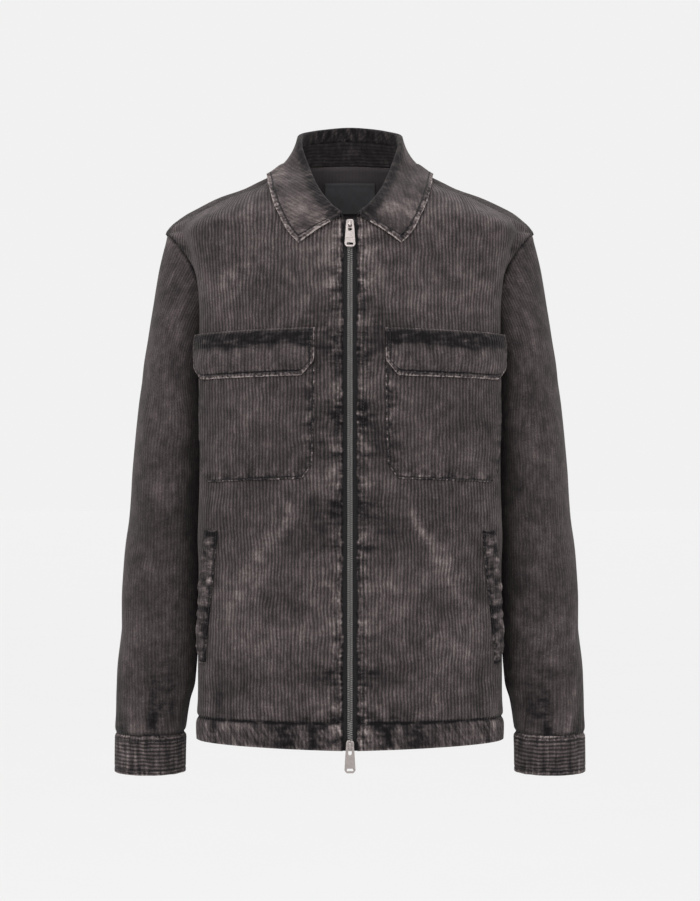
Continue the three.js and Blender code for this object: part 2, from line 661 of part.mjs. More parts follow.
addPair('front', wallMesh(front, 0, -CLOTH), CORDUROY);
addPiece('back', wallMesh(back, 0, -CLOTH), cloth(CORDUROY));
addPair('sleeve', wallMesh(sleeve, 0, -CLOTH), CORDUROY);
addPair('cuff', wallMesh(cuff, 0, -CLOTH), CORDUROY);
addPair('hem', wallMesh(hemFront, 0, -CLOTH), CORDUROY);
addPiece('hem_back', wallMesh(hemBack, 0, -CLOTH), cloth(CORDUROY));

// Part of a skin, between named rows and columns, for what lies on it
function patchOf(skin, rowRange, columnRange) {
  const within = (list, [first, last]) => list.slice(first, last + 1);
  const cut = (grid) => within(grid, rowRange).map((row) => within(row, columnRange));
  return {
    rows: cut(skin.rows), normals: cut(skin.normals), wraps: false, shift: new Map(), lean: new Map() };
}

const columnOf = (name) => FRONT_COLUMN_NAMES.indexOf(name);
const rowOf = (height) => PANEL_HEIGHTS.reduce((best, value, r) => (
  Math.abs(value - height) < Math.abs(PANEL_HEIGHTS[best] - height) ? r : best), 0);

// Drops the lower corners of a patch
const chamfered = (patch) => (r, c) => {
  const lastRow = patch.rows.length - 2;
  const lastColumn = patch.rows[0].length - 2;
  if (r !== lastRow || (c !== 0 && c !== lastColumn)) return null;
  return c === 0 ? 'sw' : 'se';
};

// Chest patch pocket, under its flap
const pocket = patchOf(front, [rowOf(FLAP_TOP) + 1, rowOf(-379)], [columnOf('inner'), columnOf('outer')]);
addPair('chest_pocket', wallMesh(pocket, LAYER_GAP + POCKET_CLOTH, LAYER_GAP, chamfered(pocket)), CORDUROY);

// Pocket flap: sewn down along its top, standing off over the pocket below
const flap = patchOf(front, [rowOf(FLAP_TOP), rowOf(-261)], [columnOf('inner'), columnOf('fold')]);
const flapLift = (r) => (r === 0 ? LAYER_GAP : LAYER_GAP * 2 + POCKET_CLOTH + FLAP_RISE * r);
addPair('pocket_flap', wallMesh(flap, (r) => flapLift(r) + CLOTH, flapLift, chamfered(flap)), CORDUROY);

// Welt of the slanted side pocket
const welt = patchOf(front, [rowOf(-437), rowOf(-592)], [columnOf('outerCorner'), columnOf('outer')]);
addPair('pocket_welt', wallMesh(welt, LAYER_GAP + CLOTH, LAYER_GAP), DARK_CORDUROY);

// Neck label on the inside of the back, across the middle
const CENTRE_COLUMN = BACK_LAST / 2;

function placeOnBack(height, x) {
  let near = 3;
  let far = 1;
  for (let step = 0; step < 20; step += 1) {
    const middle = (near + far) / 2;
    if (backPoint(height, middle).x < x) near = middle;
    else far = middle;
  }
  return backPoint(height, near);
}

const labelRows = LABEL_HEIGHTS.map((height) => {
  const half = [LABEL_WIDTH / 2, LABEL_WIDTH / 4, 0].map((x) => placeOnBack(height, x));
  return withMirror(half);
});
const LABEL_LEVEL = -(CLOTH + LABEL_GAP);
const labelWall = wallMesh(makeSkin(labelRows), LABEL_LEVEL, LABEL_LEVEL - LABEL_CLOTH);
addPiece('neck_label', labelWall, cloth(LABEL_GREY));

// Zip: each tape lies behind its front's edge and reaches the chain
const ZIP_ROWS = [...PANEL_HEIGHTS, ...HEM_HEIGHTS.slice(1)].map((height, r) => ({ height, r }))
  .filter(({ height }) => height <= NECK_FRONT);
const zipSkin = frontSkin(ZIP_ROWS.map(({ height }) => height));
const tapeUnder = ([edge, stitch]) => edge.clone().lerp(stitch, TAPE_UNDER_FRONT / (stitch.x - edge.x));
const levelWith = ([edge], x) => new THREE.Vector3(x, edge.y, edge.z);
const tapeSkin = makeSkin(zipSkin.rows.map((row) => [levelWith(row, TAPE_INNER), row[0], tapeUnder(row)]));
const TAPE_LEVEL = -(CLOTH + LAYER_GAP);
addPair('zip_tape', wallMesh(tapeSkin, TAPE_LEVEL, TAPE_LEVEL - TAPE_THICKNESS), TAPE_BLACK);

const chainSkin = makeSkin(zipSkin.rows.map((row) => (
  [-CHAIN_WIDTH / 2, CHAIN_WIDTH / 2].map((x) => levelWith(row, x)))));
const CHAIN_LEVEL = TAPE_LEVEL + (CHAIN_DEPTH - TAPE_THICKNESS) / 2;
addPiece('zip_chain', wallMesh(chainSkin, CHAIN_LEVEL, CHAIN_LEVEL - CHAIN_DEPTH), metal());

// Collar. Stations run along the neckline from the left front end to the centre back.
const neckline = [
  ...SHOULDER_HEIGHTS.map((_, r) => front.rows[r][0]).reverse(),
  ...back.rows[0].slice(2, CENTRE_COLUMN + 1),
];
const UP = new THREE.Vector3(0, 0, 1);

function necklineShares() {
  const lengths = [0];
  for (let i = 1; i < neckline.length; i += 1) {
    lengths.push(lengths[i - 1] + neckline[i].distanceTo(neckline[i - 1]));
  }
  return lengths.map((length) => length / lengths[lengths.length - 1]);
}

// Outer faces of the body, which the collar's fall is laid on
const bodyFaces = [wallMesh(front, 0, -CLOTH), wallMesh(back, 0, -CLOTH)]
  .map((geometry) => new THREE.Mesh(geometry));

// The place above the body along a direction, at least clearance away from it
function clearOfBody(point, direction, clearance, always = false) {
  const start = point.clone().addScaledVector(direction, RAY_START);
  const ray = new THREE.Raycaster(start, direction.clone().negate());
  const hits = ray.intersectObjects(bodyFaces);
  if (hits.length === 0) return point;
  const high = hits[0].point.clone().addScaledVector(direction, clearance);
  const tooLow = point.clone().sub(high).dot(direction) < 0;
  return tooLow || always ? high : point;
}

function collarStation(index, share) {
  const value = (name) => at(COLLAR_SECTIONS, name, share, 'share');
  const base = neckline[index];
  const crest = new THREE.Vector3(value('crestX'), value('crestY'), value('crestZ'));
  const edge = new THREE.Vector3(value('edgeX'), value('edgeY'), value('edgeZ'));
  const before = neckline[Math.max(0, index - 1)];
  const atBack = index === neckline.length - 1;
  const after = atBack ? new THREE.Vector3(-before.x, before.y, before.z) : neckline[index + 1];
  const rise = crest.clone().sub(base).normalize();
  const out = after.clone().sub(before).cross(rise).normalize();
  const inside = base.clone().addScaledVector(out, -CLOTH);
  const standHeight = crest.distanceTo(base) * STAND_SHARE;
  const standTop = inside.clone().addScaledVector(rise, standHeight - STAND_FRONT_DIP * (1 - share) ** 4);
  const fallStart = inside.clone().addScaledVector(rise, standHeight + SEAM_GAP);
  const centre = crest.clone().addScaledVector(rise, -FOLD_RADIUS);
  const turn = (degrees) => {
    const angle = degrees * Math.PI / 180;
    return centre.clone()
      .addScaledVector(out, -FOLD_RADIUS * Math.cos(angle))
      .addScaledVector(rise, FOLD_RADIUS * Math.sin(angle));
  };
  const lay = out.clone().multiplyScalar(0.8).addScaledVector(UP, 0.5).normalize();
  const level = CLOTH + FALL_CLEARANCE;
  const laidEdge = clearOfBody(edge, lay, level, true);
  const outer = turn(FOLD_END_TURN);
  const hang = (name) => at(FALL_SECTIONS, name, share, 'share');
  const [outShare, downShare] = [hang('out'), hang('down')];
  const drawn = new THREE.Vector3(
    mix(outer.x, laidEdge.x, outShare),
    mix(outer.y, laidEdge.y, outShare),
    mix(outer.z, laidEdge.z, downShare));
  const bulge = drawn.addScaledVector(lay, hang('off'));
  const roll = new THREE.QuadraticBezierCurve3(outer, bulge, laidEdge);
  return {
    stand: [inside.clone().addScaledVector(rise, STAND_FOOT), standTop],
    fall: [
      fallStart, ...FOLD_TURNS.map(turn), outer,
      ...FALL_ROWS.map((s) => clearOfBody(roll.getPoint(s), lay, level + 1)), laidEdge],
  };
}

const stations = necklineShares().map((share, index) => collarStation(index, share));

// Rows of a collar piece, from its left end round the back to its right end
function collarRows(name) {
  return stations[0][name].map((_, k) => {
    const half = stations.map((station) => station[name][k]);
    return withMirror(half);
  });
}

addPiece('collar_stand', wallMesh(makeSkin(collarRows('stand')), 0, -CLOTH), cloth(DARK_CORDUROY));
addPiece('collar_fall', wallMesh(makeSkin(collarRows('fall')), 0, -CLOTH), cloth(CORDUROY));

// Hardware, drawn flat with its width on X and its length on Y, then stood up against the cloth
const wasm = await Module();
wasm.setup();

function toSolid(geometry) {
  geometry.deleteAttribute('normal');
  geometry.deleteAttribute('uv');
  const merged = mergeVertices(geometry);
  return new wasm.Manifold(new wasm.Mesh({
    numProp: 3,
    vertProperties: new Float32Array(merged.getAttribute('position').array),
    triVerts: new Uint32Array(merged.index.array),
  }));
}

function toGeometry(solid) {
  const mesh = solid.getMesh();
  const geometry = new THREE.BufferGeometry();
  geometry.setAttribute('position', new THREE.BufferAttribute(mesh.vertProperties, 3));
  geometry.setIndex(new THREE.BufferAttribute(mesh.triVerts, 1));
  return geometry;
}

function outline(points) {
  return new THREE.Shape(points.map(([x, y]) => new THREE.Vector2(x, y)));
}

const symmetric = (points) => [...points, ...points.map(([x, y]) => [-x, y]).reverse()];

// Slider: a plate over the chain, and a bail that the pull tab hangs in. The plate's corners are
// shares of its half width and half length.
const PLATE_CORNERS = [[-0.55, 1], [-0.85, 0.85], [-1, 0.4], [-1, -0.5], [-0.72, -1]];
const BAIL_FOOT = 0.4;
function sliderGeometry() {
  const w = SLIDER_WIDTH / 2;
  const l = SLIDER_LENGTH / 2;
  const plateOutline = outline(symmetric(PLATE_CORNERS.map(([x, y]) => [x * w, y * l])));
  const plate = new THREE.ExtrudeGeometry(plateOutline, { depth: SLIDER_PLATE, bevelEnabled: false });
  plate.rotateX(Math.PI / 2).translate(0, SLIDER_PLATE, 0);
  const top = BAIL_OPENING + BAIL_BAR;
  const foot = BAIL_REACH + BAIL_BAR;
  const shoulder = top * 0.75;
  const bailOutline = outline([
    [foot, BAIL_FOOT], [foot, -shoulder], [foot - 1, -top], [1 - foot, -top], [-foot, -shoulder],
    [-foot, BAIL_FOOT], [-BAIL_REACH, BAIL_FOOT], [-BAIL_REACH, -BAIL_OPENING],
    [BAIL_REACH, -BAIL_OPENING], [BAIL_REACH, BAIL_FOOT]]);
  const bail = new THREE.ExtrudeGeometry(bailOutline, { depth: BAIL_WIDTH, bevelEnabled: false });
  bail.translate(0, 0, -BAIL_WIDTH / 2).rotateY(-Math.PI / 2);
  return toGeometry(toSolid(plate).add(toSolid(bail)));
}

// Pull tab: wider towards its chamfered end, slotted at the top for the bail, with a window below
function pullGeometry() {
  const top = PULL_BAR / 2;
  const end = top - PULL_LENGTH;
  const w = PULL_TOP_WIDTH / 2;
  const e = PULL_END_WIDTH / 2;
  const [topIn, topDown] = PULL_TOP_CORNER;
  const [endIn, endUp] = PULL_END_CORNER;
  const shape = outline(symmetric([
    [topIn - w, top], [-w, top - topDown], [-e, end + endUp], [endIn - e, end]]));
  const slot = PULL_SLOT_WIDTH / 2;
  const slotEnd = -top - PULL_SLOT_LENGTH;
  const slotCorners = [[-slot, -top], [-slot, slotEnd + slot / 2], [-slot / 2, slotEnd]];
  const windowCorners = WINDOW_HALF_WIDTHS.map((half, k) => [-half, end + WINDOW_HEIGHTS[k]]);
  for (const corners of [slotCorners, windowCorners]) {
    shape.holes.push(new THREE.Path(symmetric(corners).map(([x, y]) => new THREE.Vector2(x, y))));
  }
  const pull = new THREE.ExtrudeGeometry(shape, { depth: PULL_THICKNESS, bevelEnabled: false });
  pull.translate(0, 0, -PULL_THICKNESS / 2).rotateX(Math.PI / 2);
  return toGeometry(toSolid(pull));
}

// Slider and pull at a height on the zip, lying along its slope. The lower slider is upside down.
function addSlider(place, height, upsideDown) {
  const y = (h) => at(FRONT_SECTIONS, 'startY', h);
  const reach = SLIDER_LENGTH / 2;
  const slope = Math.atan2(y(height + reach) - y(height - reach), 2 * reach);
  const group = new THREE.Group();
  group.position.set(0, y(height), height);
  group.rotation.x = -slope;
  jacket.add(group);
  const face = CHAIN_LEVEL + SLIDER_GAP + SLIDER_PLATE;
  const slider = sliderGeometry();
  if (upsideDown) slider.rotateY(Math.PI);
  addPiece(`slider_${place}`, slider, metal(), group).position.set(0, -face, 0);
  const pivotOut = face + BAIL_OPENING / 2;
  addPiece(`pull_${place}`, pullGeometry(), metal(), group).position.set(0, -pivotOut, -PULL_PIVOT_DROP);
}

addSlider('top', TOP_SLIDER_HEIGHT, false);
addSlider('bottom', BOTTOM_SLIDER_HEIGHT, true);

export default jacket;
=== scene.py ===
import math

import bpy
import numpy as np
from mathutils import Matrix, Vector
from mathutils.bvhtree import BVHTree


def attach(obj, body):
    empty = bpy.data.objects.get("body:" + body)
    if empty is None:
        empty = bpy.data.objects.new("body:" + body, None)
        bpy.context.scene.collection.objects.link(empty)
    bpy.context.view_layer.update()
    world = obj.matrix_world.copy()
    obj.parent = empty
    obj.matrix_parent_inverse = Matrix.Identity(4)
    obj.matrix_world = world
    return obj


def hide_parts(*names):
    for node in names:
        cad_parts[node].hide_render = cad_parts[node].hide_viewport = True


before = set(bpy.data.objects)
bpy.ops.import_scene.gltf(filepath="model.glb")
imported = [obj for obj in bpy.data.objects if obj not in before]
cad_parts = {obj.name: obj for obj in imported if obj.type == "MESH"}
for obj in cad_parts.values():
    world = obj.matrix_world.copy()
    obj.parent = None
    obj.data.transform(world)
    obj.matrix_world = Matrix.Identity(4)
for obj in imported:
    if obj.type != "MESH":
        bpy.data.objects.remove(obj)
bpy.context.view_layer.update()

# Corduroy zip jacket, filled out as it is worn. Shapes are worked out in millimetres for the
# wearer's left half, on +X, and mirrored; meshes are made in metres.
MM = 0.001
CLOTH = 2.0
LAYER_GAP = 0.3
POCKET_CLOTH = 1.5

# Zip
TOOTH_PITCH = 2.5
TAPE_MEETING = 0.15
TAPE_INNER = 3.3
TAPE_OUTER = 13.5
TAPE_LEVEL = -(CLOTH + LAYER_GAP)
TAPE_THICKNESS = 0.9
CHAIN_DEPTH = 2.4
CHAIN_LEVEL = TAPE_LEVEL + (CHAIN_DEPTH - TAPE_THICKNESS) / 2
ZIP_EDGE = 8.0

# Sliders and pull tabs
SLIDER_WIDTH = 9.4
SLIDER_LENGTH = 12.0
SLIDER_PLATE = 2.6
SLIDER_GAP = 0.5
BAIL_OPENING = 2.6
BAIL_REACH = 3.0
BAIL_BAR = 1.2
BAIL_WIDTH = 2.4
PULL_LENGTH = 30.0
PULL_TOP_WIDTH = 9.5
PULL_END_WIDTH = 12.6
PULL_THICKNESS = 1.5
PULL_BAR = 1.5
PULL_SLOT_WIDTH = 4.0
PULL_SLOT_LENGTH = 8.0
PULL_PIVOT_DROP = 1.5
TOP_SLIDER_HEIGHT = -84.0
BOTTOM_SLIDER_HEIGHT = -680.0

# Armhole ring
ARMHOLE_STEPS = 56
ARMHOLE_TOP = (218.0, -7.0, -86.0)
ARMHOLE_LOW = (165.0, 8.0, -245.0)
ARMHOLE_FALL = 50.0
ARMHOLE_FRONT_REACH = 46.0
ARMHOLE_BACK_REACH = 72.0

# Heights
NECK_FRONT = -77.0
HEM_SEAM = -655.0
HEM_EDGE = -686.0
SLEEVE_LEVEL = -330.0
CUFF_SEAM = -680.0
CUFF_EDGE = -727.0
SLEEVE_BLEND = 0.45

# Wales and grid steps
WALE_PITCH = 4.15
STEP = 3.2
FAR = 99.0
NORMAL_REACH = 2.0
LEVEL_RANGE = 12.0
CARRY_TOP = -78.0
CARRY_LOW = -170.0
CARRY_REACH = 14.0
CURL_TOP = -105.0


class Table:
    """Rows of named columns, read at any value of the first column on a smooth curve that never
    overshoots."""

    def __init__(self, names, rows):
        rows = sorted(rows)
        self.key = np.array([row[0] for row in rows], float)
        self.columns = {name: np.array([row[i] for row in rows], float) for i,
            name in enumerate(names.split())}

    def at(self, name, key):
        key = np.asarray(key, float)
        value = self.columns[name]
        slope = np.diff(value) / np.diff(self.key)
        total = slope[1:] + slope[:-1]
        level = slope[1:] * slope[:-1] <= 0
        bend = np.where(level, 0, 2 * slope[1:] * slope[:-1] / np.where(level, 1, total))
        bend = np.concatenate([slope[:1], bend, slope[-1:]])
        i = np.clip(np.searchsorted(self.key, key) - 1, 0, len(self.key) - 2)
        span = self.key[i + 1] - self.key[i]
        t = np.clip((key - self.key[i]) / span, 0, 1)
        return ((2 * t**3 - 3 * t**2 + 1) * value[i] + (t**3 - 2 * t**2 + t) * span * bend[i]
                + (3 * t**2 - 2 * t**3) * value[i + 1] + (t**3 - t**2) * span * bend[i + 1])


# Front contours in plan: the start at the neckline or zip edge, the fold in front of the sleeve,
# the tuck behind it and the seam. Turns are directions in degrees from +X.
FRONT = Table("height startX startY startTurn foldX foldY foldTurn tuckTurn seamTurn", [
    (-5, 70, -6, 25, 74, -4, 35, 35, 50),
    (-14, 68, -17, 15, 80, -10, 42, 42, 55),
    (-28, 62, -38, 8, 93, -24, 42, 42, 55),
    (-42, 53, -56, 6, 124, -34, 42, 42, 55),
    (-56, 41, -73, 8, 152, -39, 50, 50, 58),
    (-67, 27, -87, 10, 173, -43, 60, 60, 60),
    (-77, ZIP_EDGE, -98, 10, 187, -46, 70, 70, 58),
    (-86, ZIP_EDGE, -102, 8, 193, -47, 76, 76, 52),
    (-117, ZIP_EDGE, -113, 3, 184.6, -56, 86, 88, 60),
    (-145, ZIP_EDGE, -124, 1, 179.2, -62, 90, 98, 84),
    (-169, ZIP_EDGE, -132, 0, 176.3, -65, 92, 106, 90),
    (-191, ZIP_EDGE, -137, 0, 175.4, -66, 92, 112, 90),
    (-245, ZIP_EDGE, -141, 0, 175.3, -66, 92, 116, 86),
    (-404, ZIP_EDGE, -140, 0, 176, -63, 92, 114, 88),
    (-524, ZIP_EDGE, -140, 0, 177.3, -62, 92, 108, 88),
    (-686, ZIP_EDGE, -142, 0, 178.4, -62, 92, 102, 90),
])

# Shoulder seam and side seam
SEAM_LINE = Table("height x y", [
    (-5, 78, -1), (-14, 89, -3), (-28, 107, -6), (-42, 144, -8), (-56, 172, -8), (-67, 196, -8),
    (-77, 212, -8), (ARMHOLE_TOP[2], ARMHOLE_TOP[0], ARMHOLE_TOP[1]),
    (ARMHOLE_LOW[2], ARMHOLE_LOW[0], ARMHOLE_LOW[1]), (-300, 160, 8), (-404, 159, 6),
    (-524, 164, 4), (-620, 168, 4), (-686, 170, 4),
])

# Back contours in plan, from the seam past the corner and the shoulder blade to the centre back
BACK = Table("height seamTurn cornerOut cornerBack cornerTurn bladeX bladeY bladeTurn backY", [
    (-5, 60, -5, 12, 112, 50, 53, 142, 70),
    (-14, 58, 2.5, 12, 95, 66, 57, 142, 76),
    (-28, 45, 14, 14, 92, 86, 66, 147, 84),
    (-42, 45, 14.5, 16, 92, 104, 76, 152, 92),
    (-56, 45, 16, 16, 92, 116, 87, 155, 99),
    (-67, 52, 9, 16, 92, 122, 94, 157, 104),
    (-77, 60, 3, 16, 94, 125, 99, 158, 108),
    (-86, 68, 2, 14, 96, 126, 102, 159, 111),
    (-119, 104, -8, 15, 122, 122, 108, 161, 119),
    (-165, 128, -15, 14, 134, 112, 112, 163, 124),
    (-190, 126, -13, 13, 134, 108, 112, 163, 123),
    (-212, 118, -11, 15, 130, 104, 111, 164, 122),
    (-230, 110, -10, 23, 124, 102, 109, 164, 120),
    (-241, 100, -9, 38, 116, 100, 108, 164, 119),
    (-245, 90, -9, 58.5, 114, 100, 108, 164, 118.5),
    (-300, 90, -4, 53, 112, 98, 102, 164, 112),
    (-404, 90, -4, 48, 112, 97, 96, 164, 106),
    (-524, 90, -4, 54, 112, 100, 104, 164, 115),
    (-686, 90, -4, 58, 112, 104, 110, 164, 121),
])

# Lift of the front's grain rows beside the zip and at the fold, and the places across it that
# the pockets, flaps and welts keep to
SLANTS = Table("height inner outer", [
    (-141, 0, 0), (-212, 8, 2), (-251, 5, -2), (-261, 3, -3), (-335, 0, 0), (-364, 6, -5),
    (-379, 4, -4), (-437, 0, 0), (HEM_SEAM, 0, 0), (HEM_EDGE, 0, 4),
])
PLACES = Table("height inner innerCorner outerCorner outer", [
    (-200, 0.165, 0.235, 0.875, 0.985), (-264, 0.165, 0.24, 0.875, 0.975),
    (-320, 0.17, 0.24, 0.85, 0.955), (-367, 0.176, 0.236, 0.835, 0.915),
    (-385, 0.176, 0.236, 0.83, 0.905), (-437, 0.17, 0.235, 0.757, 0.852),
    (-484, 0.165, 0.23, 0.785, 0.905), (-533, 0.16, 0.225, 0.822, 0.945),
    (-567, 0.158, 0.225, 0.84, 0.95), (-592, 0.158, 0.225, 0.85, 0.91),
    (-686, 0.158, 0.225, 0.85, 0.91),
])
FLAP_HEIGHTS = (-212.0, -261.0)
POCKET_HEIGHTS = (-251.0, -379.0)
WELT_HEIGHTS = (-437.0, -592.0)
CORNER_RISE = 14.0

# Sleeve ovals
SLEEVE = Table("height outerX innerX halfDepth centreY", [
    (-86, 228, 165, 52, -2), (-104, 234, 165, 55, -1), (-140, 234.6, 165, 58, 0),
    (-164, 235.8, 165, 60, 0), (-212, 242, 165, 63, 1), (-245, 247.5, 168, 65, 1),
    (-284, 252, 171, 66, 0), (-356, 259, 174.5, 65, -1), (-404, 263, 176, 62, -2),
    (-452, 268, 178, 59, -4), (-524, 274, 180, 54, -7), (-584, 277.5, 181.5, 50, -10),
    (-621, 279, 185, 47, -12), (-644, 279.6, 192, 45, -13), (CUFF_SEAM, 279.8, 196.5, 42, -15),
    (CUFF_EDGE, 279.8, 197, 41, -15),
])

# Soft troughs (depth above 0) and ridges (below 0): from a place and height to a place and height.
# Places on a sleeve are degrees round from the shoulder over the back.
FRONT_FOLDS = [
    (60, -410, 150, -560, 24, 3.5), (30, -520, 120, -640, 26, 3.0), (150, -390, 172, -470, 16, -2.5),
    (30, -120, 150, -175, 26, 2.0), (96, -420, 152, -520, 9, -1.0), (120, -560, 168, -640, 9, 1.0),
    (22, -440, 40, -500, 8, 0.9), (24, -640, 60, -600, 8, 1.0),
]
BACK_FOLDS = [
    (150, -190, 70, -400, 30, 4.0), (40, -450, 150, -520, 24, 3.5), (20, -580, 120, -640, 22, 3.0),
    (130, -260, 60, -330, 12, 1.4), (10, -500, 90, -560, 12, 1.2), (60, -110, 140, -150, 14, 1.2),
]
SLEEVE_FOLDS = [
    (330, -250, 250, -330, 22, 4.0), (30, -360, 110, -440, 22, 3.5), (350, -420, 260, -490, 20, 4.0),
    (20, -520, 330, -590, 20, 3.5), (180, -520, 120, -600, 20, 3.0), (300, -300, 250, -370, 9, 1.3),
    (340, -610, 280, -650, 9, 1.4), (60, -560, 110, -630, 10, 1.3), (310, -520, 250, -560, 9, 1.1),
    (30, -200, 350, -280, 12, 1.2), (140, -300, 90, -380, 12, 1.4),
]
# Light creases worn into the lower fronts
LIGHT_CREASES = [
    (58, -400, 140, -510, 10, 0.45), (62, -395, 96, -470, 5, 0.4), (90, -470, 166, -560, 12, 0.4),
    (70, -540, 160, -600, 14, 0.3), (40, -470, 74, -600, 9, 0.2), (110, -130, 165, -160, 8, 0.35),
]

# Collar stations from the front end to the centre back
COLLAR = Table("share crestX crestY crestZ edgeX edgeY edgeZ", [
    (0, 12, -103, -70, 66, -111, -106), (0.13, 23, -88, -57, 79, -97, -80),
    (0.27, 36, -64, -38, 91, -67, -51), (0.42, 48, -33, -10, 98, -14, -22),
    (0.55, 59, 0, 24, 99, 14, -13), (0.66, 60, 26, 37, 90, 48, -9), (0.8, 42, 56, 47, 58, 80, -7),
    (1, 0, 71, 53.2, 0, 93, -6), (1.2, -42, 56, 47, -58, 80, -7),
])
# Where the fall is drawn to between its fold and its edge: shares of the way out and down, and how
# far off it stands there
FALL = Table("share out down off", [
    (0, 0.4, 0.4, 5), (0.27, 0.34, 0.44, 4), (0.42, 0.2, 0.6, 1), (0.66, 0.22, 0.6, 1), (0.8, 0.25, 0.6,
        1.5),
    (1, 0.3, 0.6, 2.5),
])
STAND_SHARE = 0.62
COLLAR_REACH = 14.0
FOLD_RADIUS = 3.5
FALL_CLEARANCE = 2.8


def mix(a, b, share):
    return a + (b - a) * share


def smooth(share):
    s = np.clip(share, 0, 1)
    return s * s * (3 - 2 * s)


def unit(vectors):
    return vectors / np.maximum(np.linalg.norm(vectors, axis=-1, keepdims=True), 1e-9)


def noise(x, y, seed):
    """Smooth uneven waves from -1 to 1, about one to a unit each way."""
    lattice = np.random.default_rng(seed).uniform(-1, 1, (97, 97))
    x, y = np.broadcast_arrays(np.asarray(x, float) + 500, np.asarray(y, float) + 500)
    i, j = np.floor(x).astype(int), np.floor(y).astype(int)
    u, v = smooth(x - i), smooth(y - j)
    corner = [[lattice[(i + a) % 97, (j + b) % 97] for b in (0, 1)] for a in (0, 1)]
    return mix(mix(corner[0][0], corner[1][0], u), mix(corner[0][1], corner[1][1], u), v)


def folds(table, across, height, turn=0, unit=1.0):
    """Depth of soft folds at places across and heights, each fading out towards its ends."""
    depth = np.zeros(np.broadcast(across, height).shape)
    for start, low, end, high, width, size in table:
        run, place = end - start, across - start
        if turn:
            run = run - turn * round(run / turn)
            place = place - turn * np.round(place / turn)
        line = np.array([run * unit, high - low])
        px, py = place * unit, height - low
        share = (px * line[0] + py * line[1]) / (line @ line)
        held = np.clip(share, 0, 1)
        off2 = (px - held * line[0])**2 + (py - held * line[1])**2
        depth += size * smooth(1.25 - np.abs(share - 0.5) * 2) * np.exp(-off2 / width**2)
    return depth


def plan_curve(a, a_turn, b, b_turn):
    """Control points of plan curves between two points with a direction in degrees at each."""
    step = b - a
    length = np.linalg.norm(step, axis=-1, keepdims=True)

    def handle(turn):
        angle = np.radians(turn)
        way = np.stack([np.cos(angle), np.sin(angle)], -1)
        return way * 0.55 * np.maximum(np.abs((step * way).sum(-1, keepdims=True)), 0.3 * length)
    return np.stack([a, a + handle(a_turn), b - handle(b_turn), b], -2)


def along(curves, shares):
    """Points at shares of the length of each curve, and those lengths."""
    t = np.linspace(0, 1, 49)[:, None]
    basis = np.concatenate([(1 - t)**3, 3 * t * (1 - t)**2, 3 * t**2 * (1 - t), t**3], 1)
    points = np.einsum("kb,nbd->nkd", basis, curves)
    lengths = np.cumsum(np.linalg.norm(np.diff(points, axis=1), axis=2), axis=1)
    lengths = np.concatenate([np.zeros((len(lengths), 1)), lengths], 1)
    runs = shares[None, :] * lengths[:, -1:]
    flat = np.stack([
        np.stack([np.interp(run, line, row[:, d]) for d in (0, 1)], -1)
        for run, line, row in zip(runs, lengths, points)])
    return flat, runs


def spaced(length, step, start_fine=True, end_fine=True):
    """Places from 0 to length about a step apart, closer together at the fine ends."""
    edge = np.array([0, 0.5, 1.2, 2.2, 3.6, 5.4])
    low = edge if start_fine else np.array([0.0])
    high = length - edge[::-1] if end_fine else np.array([length])
    count = max(1, int(round((high[0] - low[-1]) / step)))
    return np.concatenate([low, np.linspace(low[-1], high[0], count + 1)[1:-1], high])


def armhole(angle):
    """Armhole ring at angles from the shoulder seam, over the back up to half a turn."""
    drop = (1 - np.cos(angle)) / 2
    z = mix(ARMHOLE_TOP[2], ARMHOLE_LOW[2], drop)
    end = math.exp((ARMHOLE_LOW[2] - ARMHOLE_TOP[2]) / ARMHOLE_FALL)
    near = (np.exp((z - ARMHOLE_TOP[2]) / ARMHOLE_FALL) - end) / (1 - end)
    reach = np.where(np.sin(angle) > 0, ARMHOLE_BACK_REACH, ARMHOLE_FRONT_REACH)
    y = mix(ARMHOLE_TOP[1], ARMHOLE_LOW[1], drop) + reach * np.sin(angle)
    return np.stack([mix(ARMHOLE_LOW[0], ARMHOLE_TOP[0], near), y, z], -1)


def seam_points(heights, side):
    """Plan places of the shoulder seam, the armhole's front (-1) or back (1), or the side seam."""
    drop = np.clip((heights - ARMHOLE_TOP[2]) / (ARMHOLE_LOW[2] - ARMHOLE_TOP[2]), 0, 1)
    ring = armhole(side * np.arccos(1 - 2 * drop))[:, :2]
    line = np.stack([SEAM_LINE.at("x", heights), SEAM_LINE.at("y", heights)], -1)
    inside = (heights < ARMHOLE_TOP[2]) & (heights > ARMHOLE_LOW[2])
    return np.where(inside[:, None], ring, line)


def grid_normals(points, loop=False):
    down = np.gradient(points, axis=0)
    if loop:
        ring = np.concatenate([points[:, -2:-1], points, points[:, 1:2]], 1)
        across = ring[:, 2:] - ring[:, :-2]
    else:
        across = np.gradient(points, axis=1)
    normal = np.cross(down, across)
    return normal / np.maximum(np.linalg.norm(normal, axis=2, keepdims=True), 1e-9)


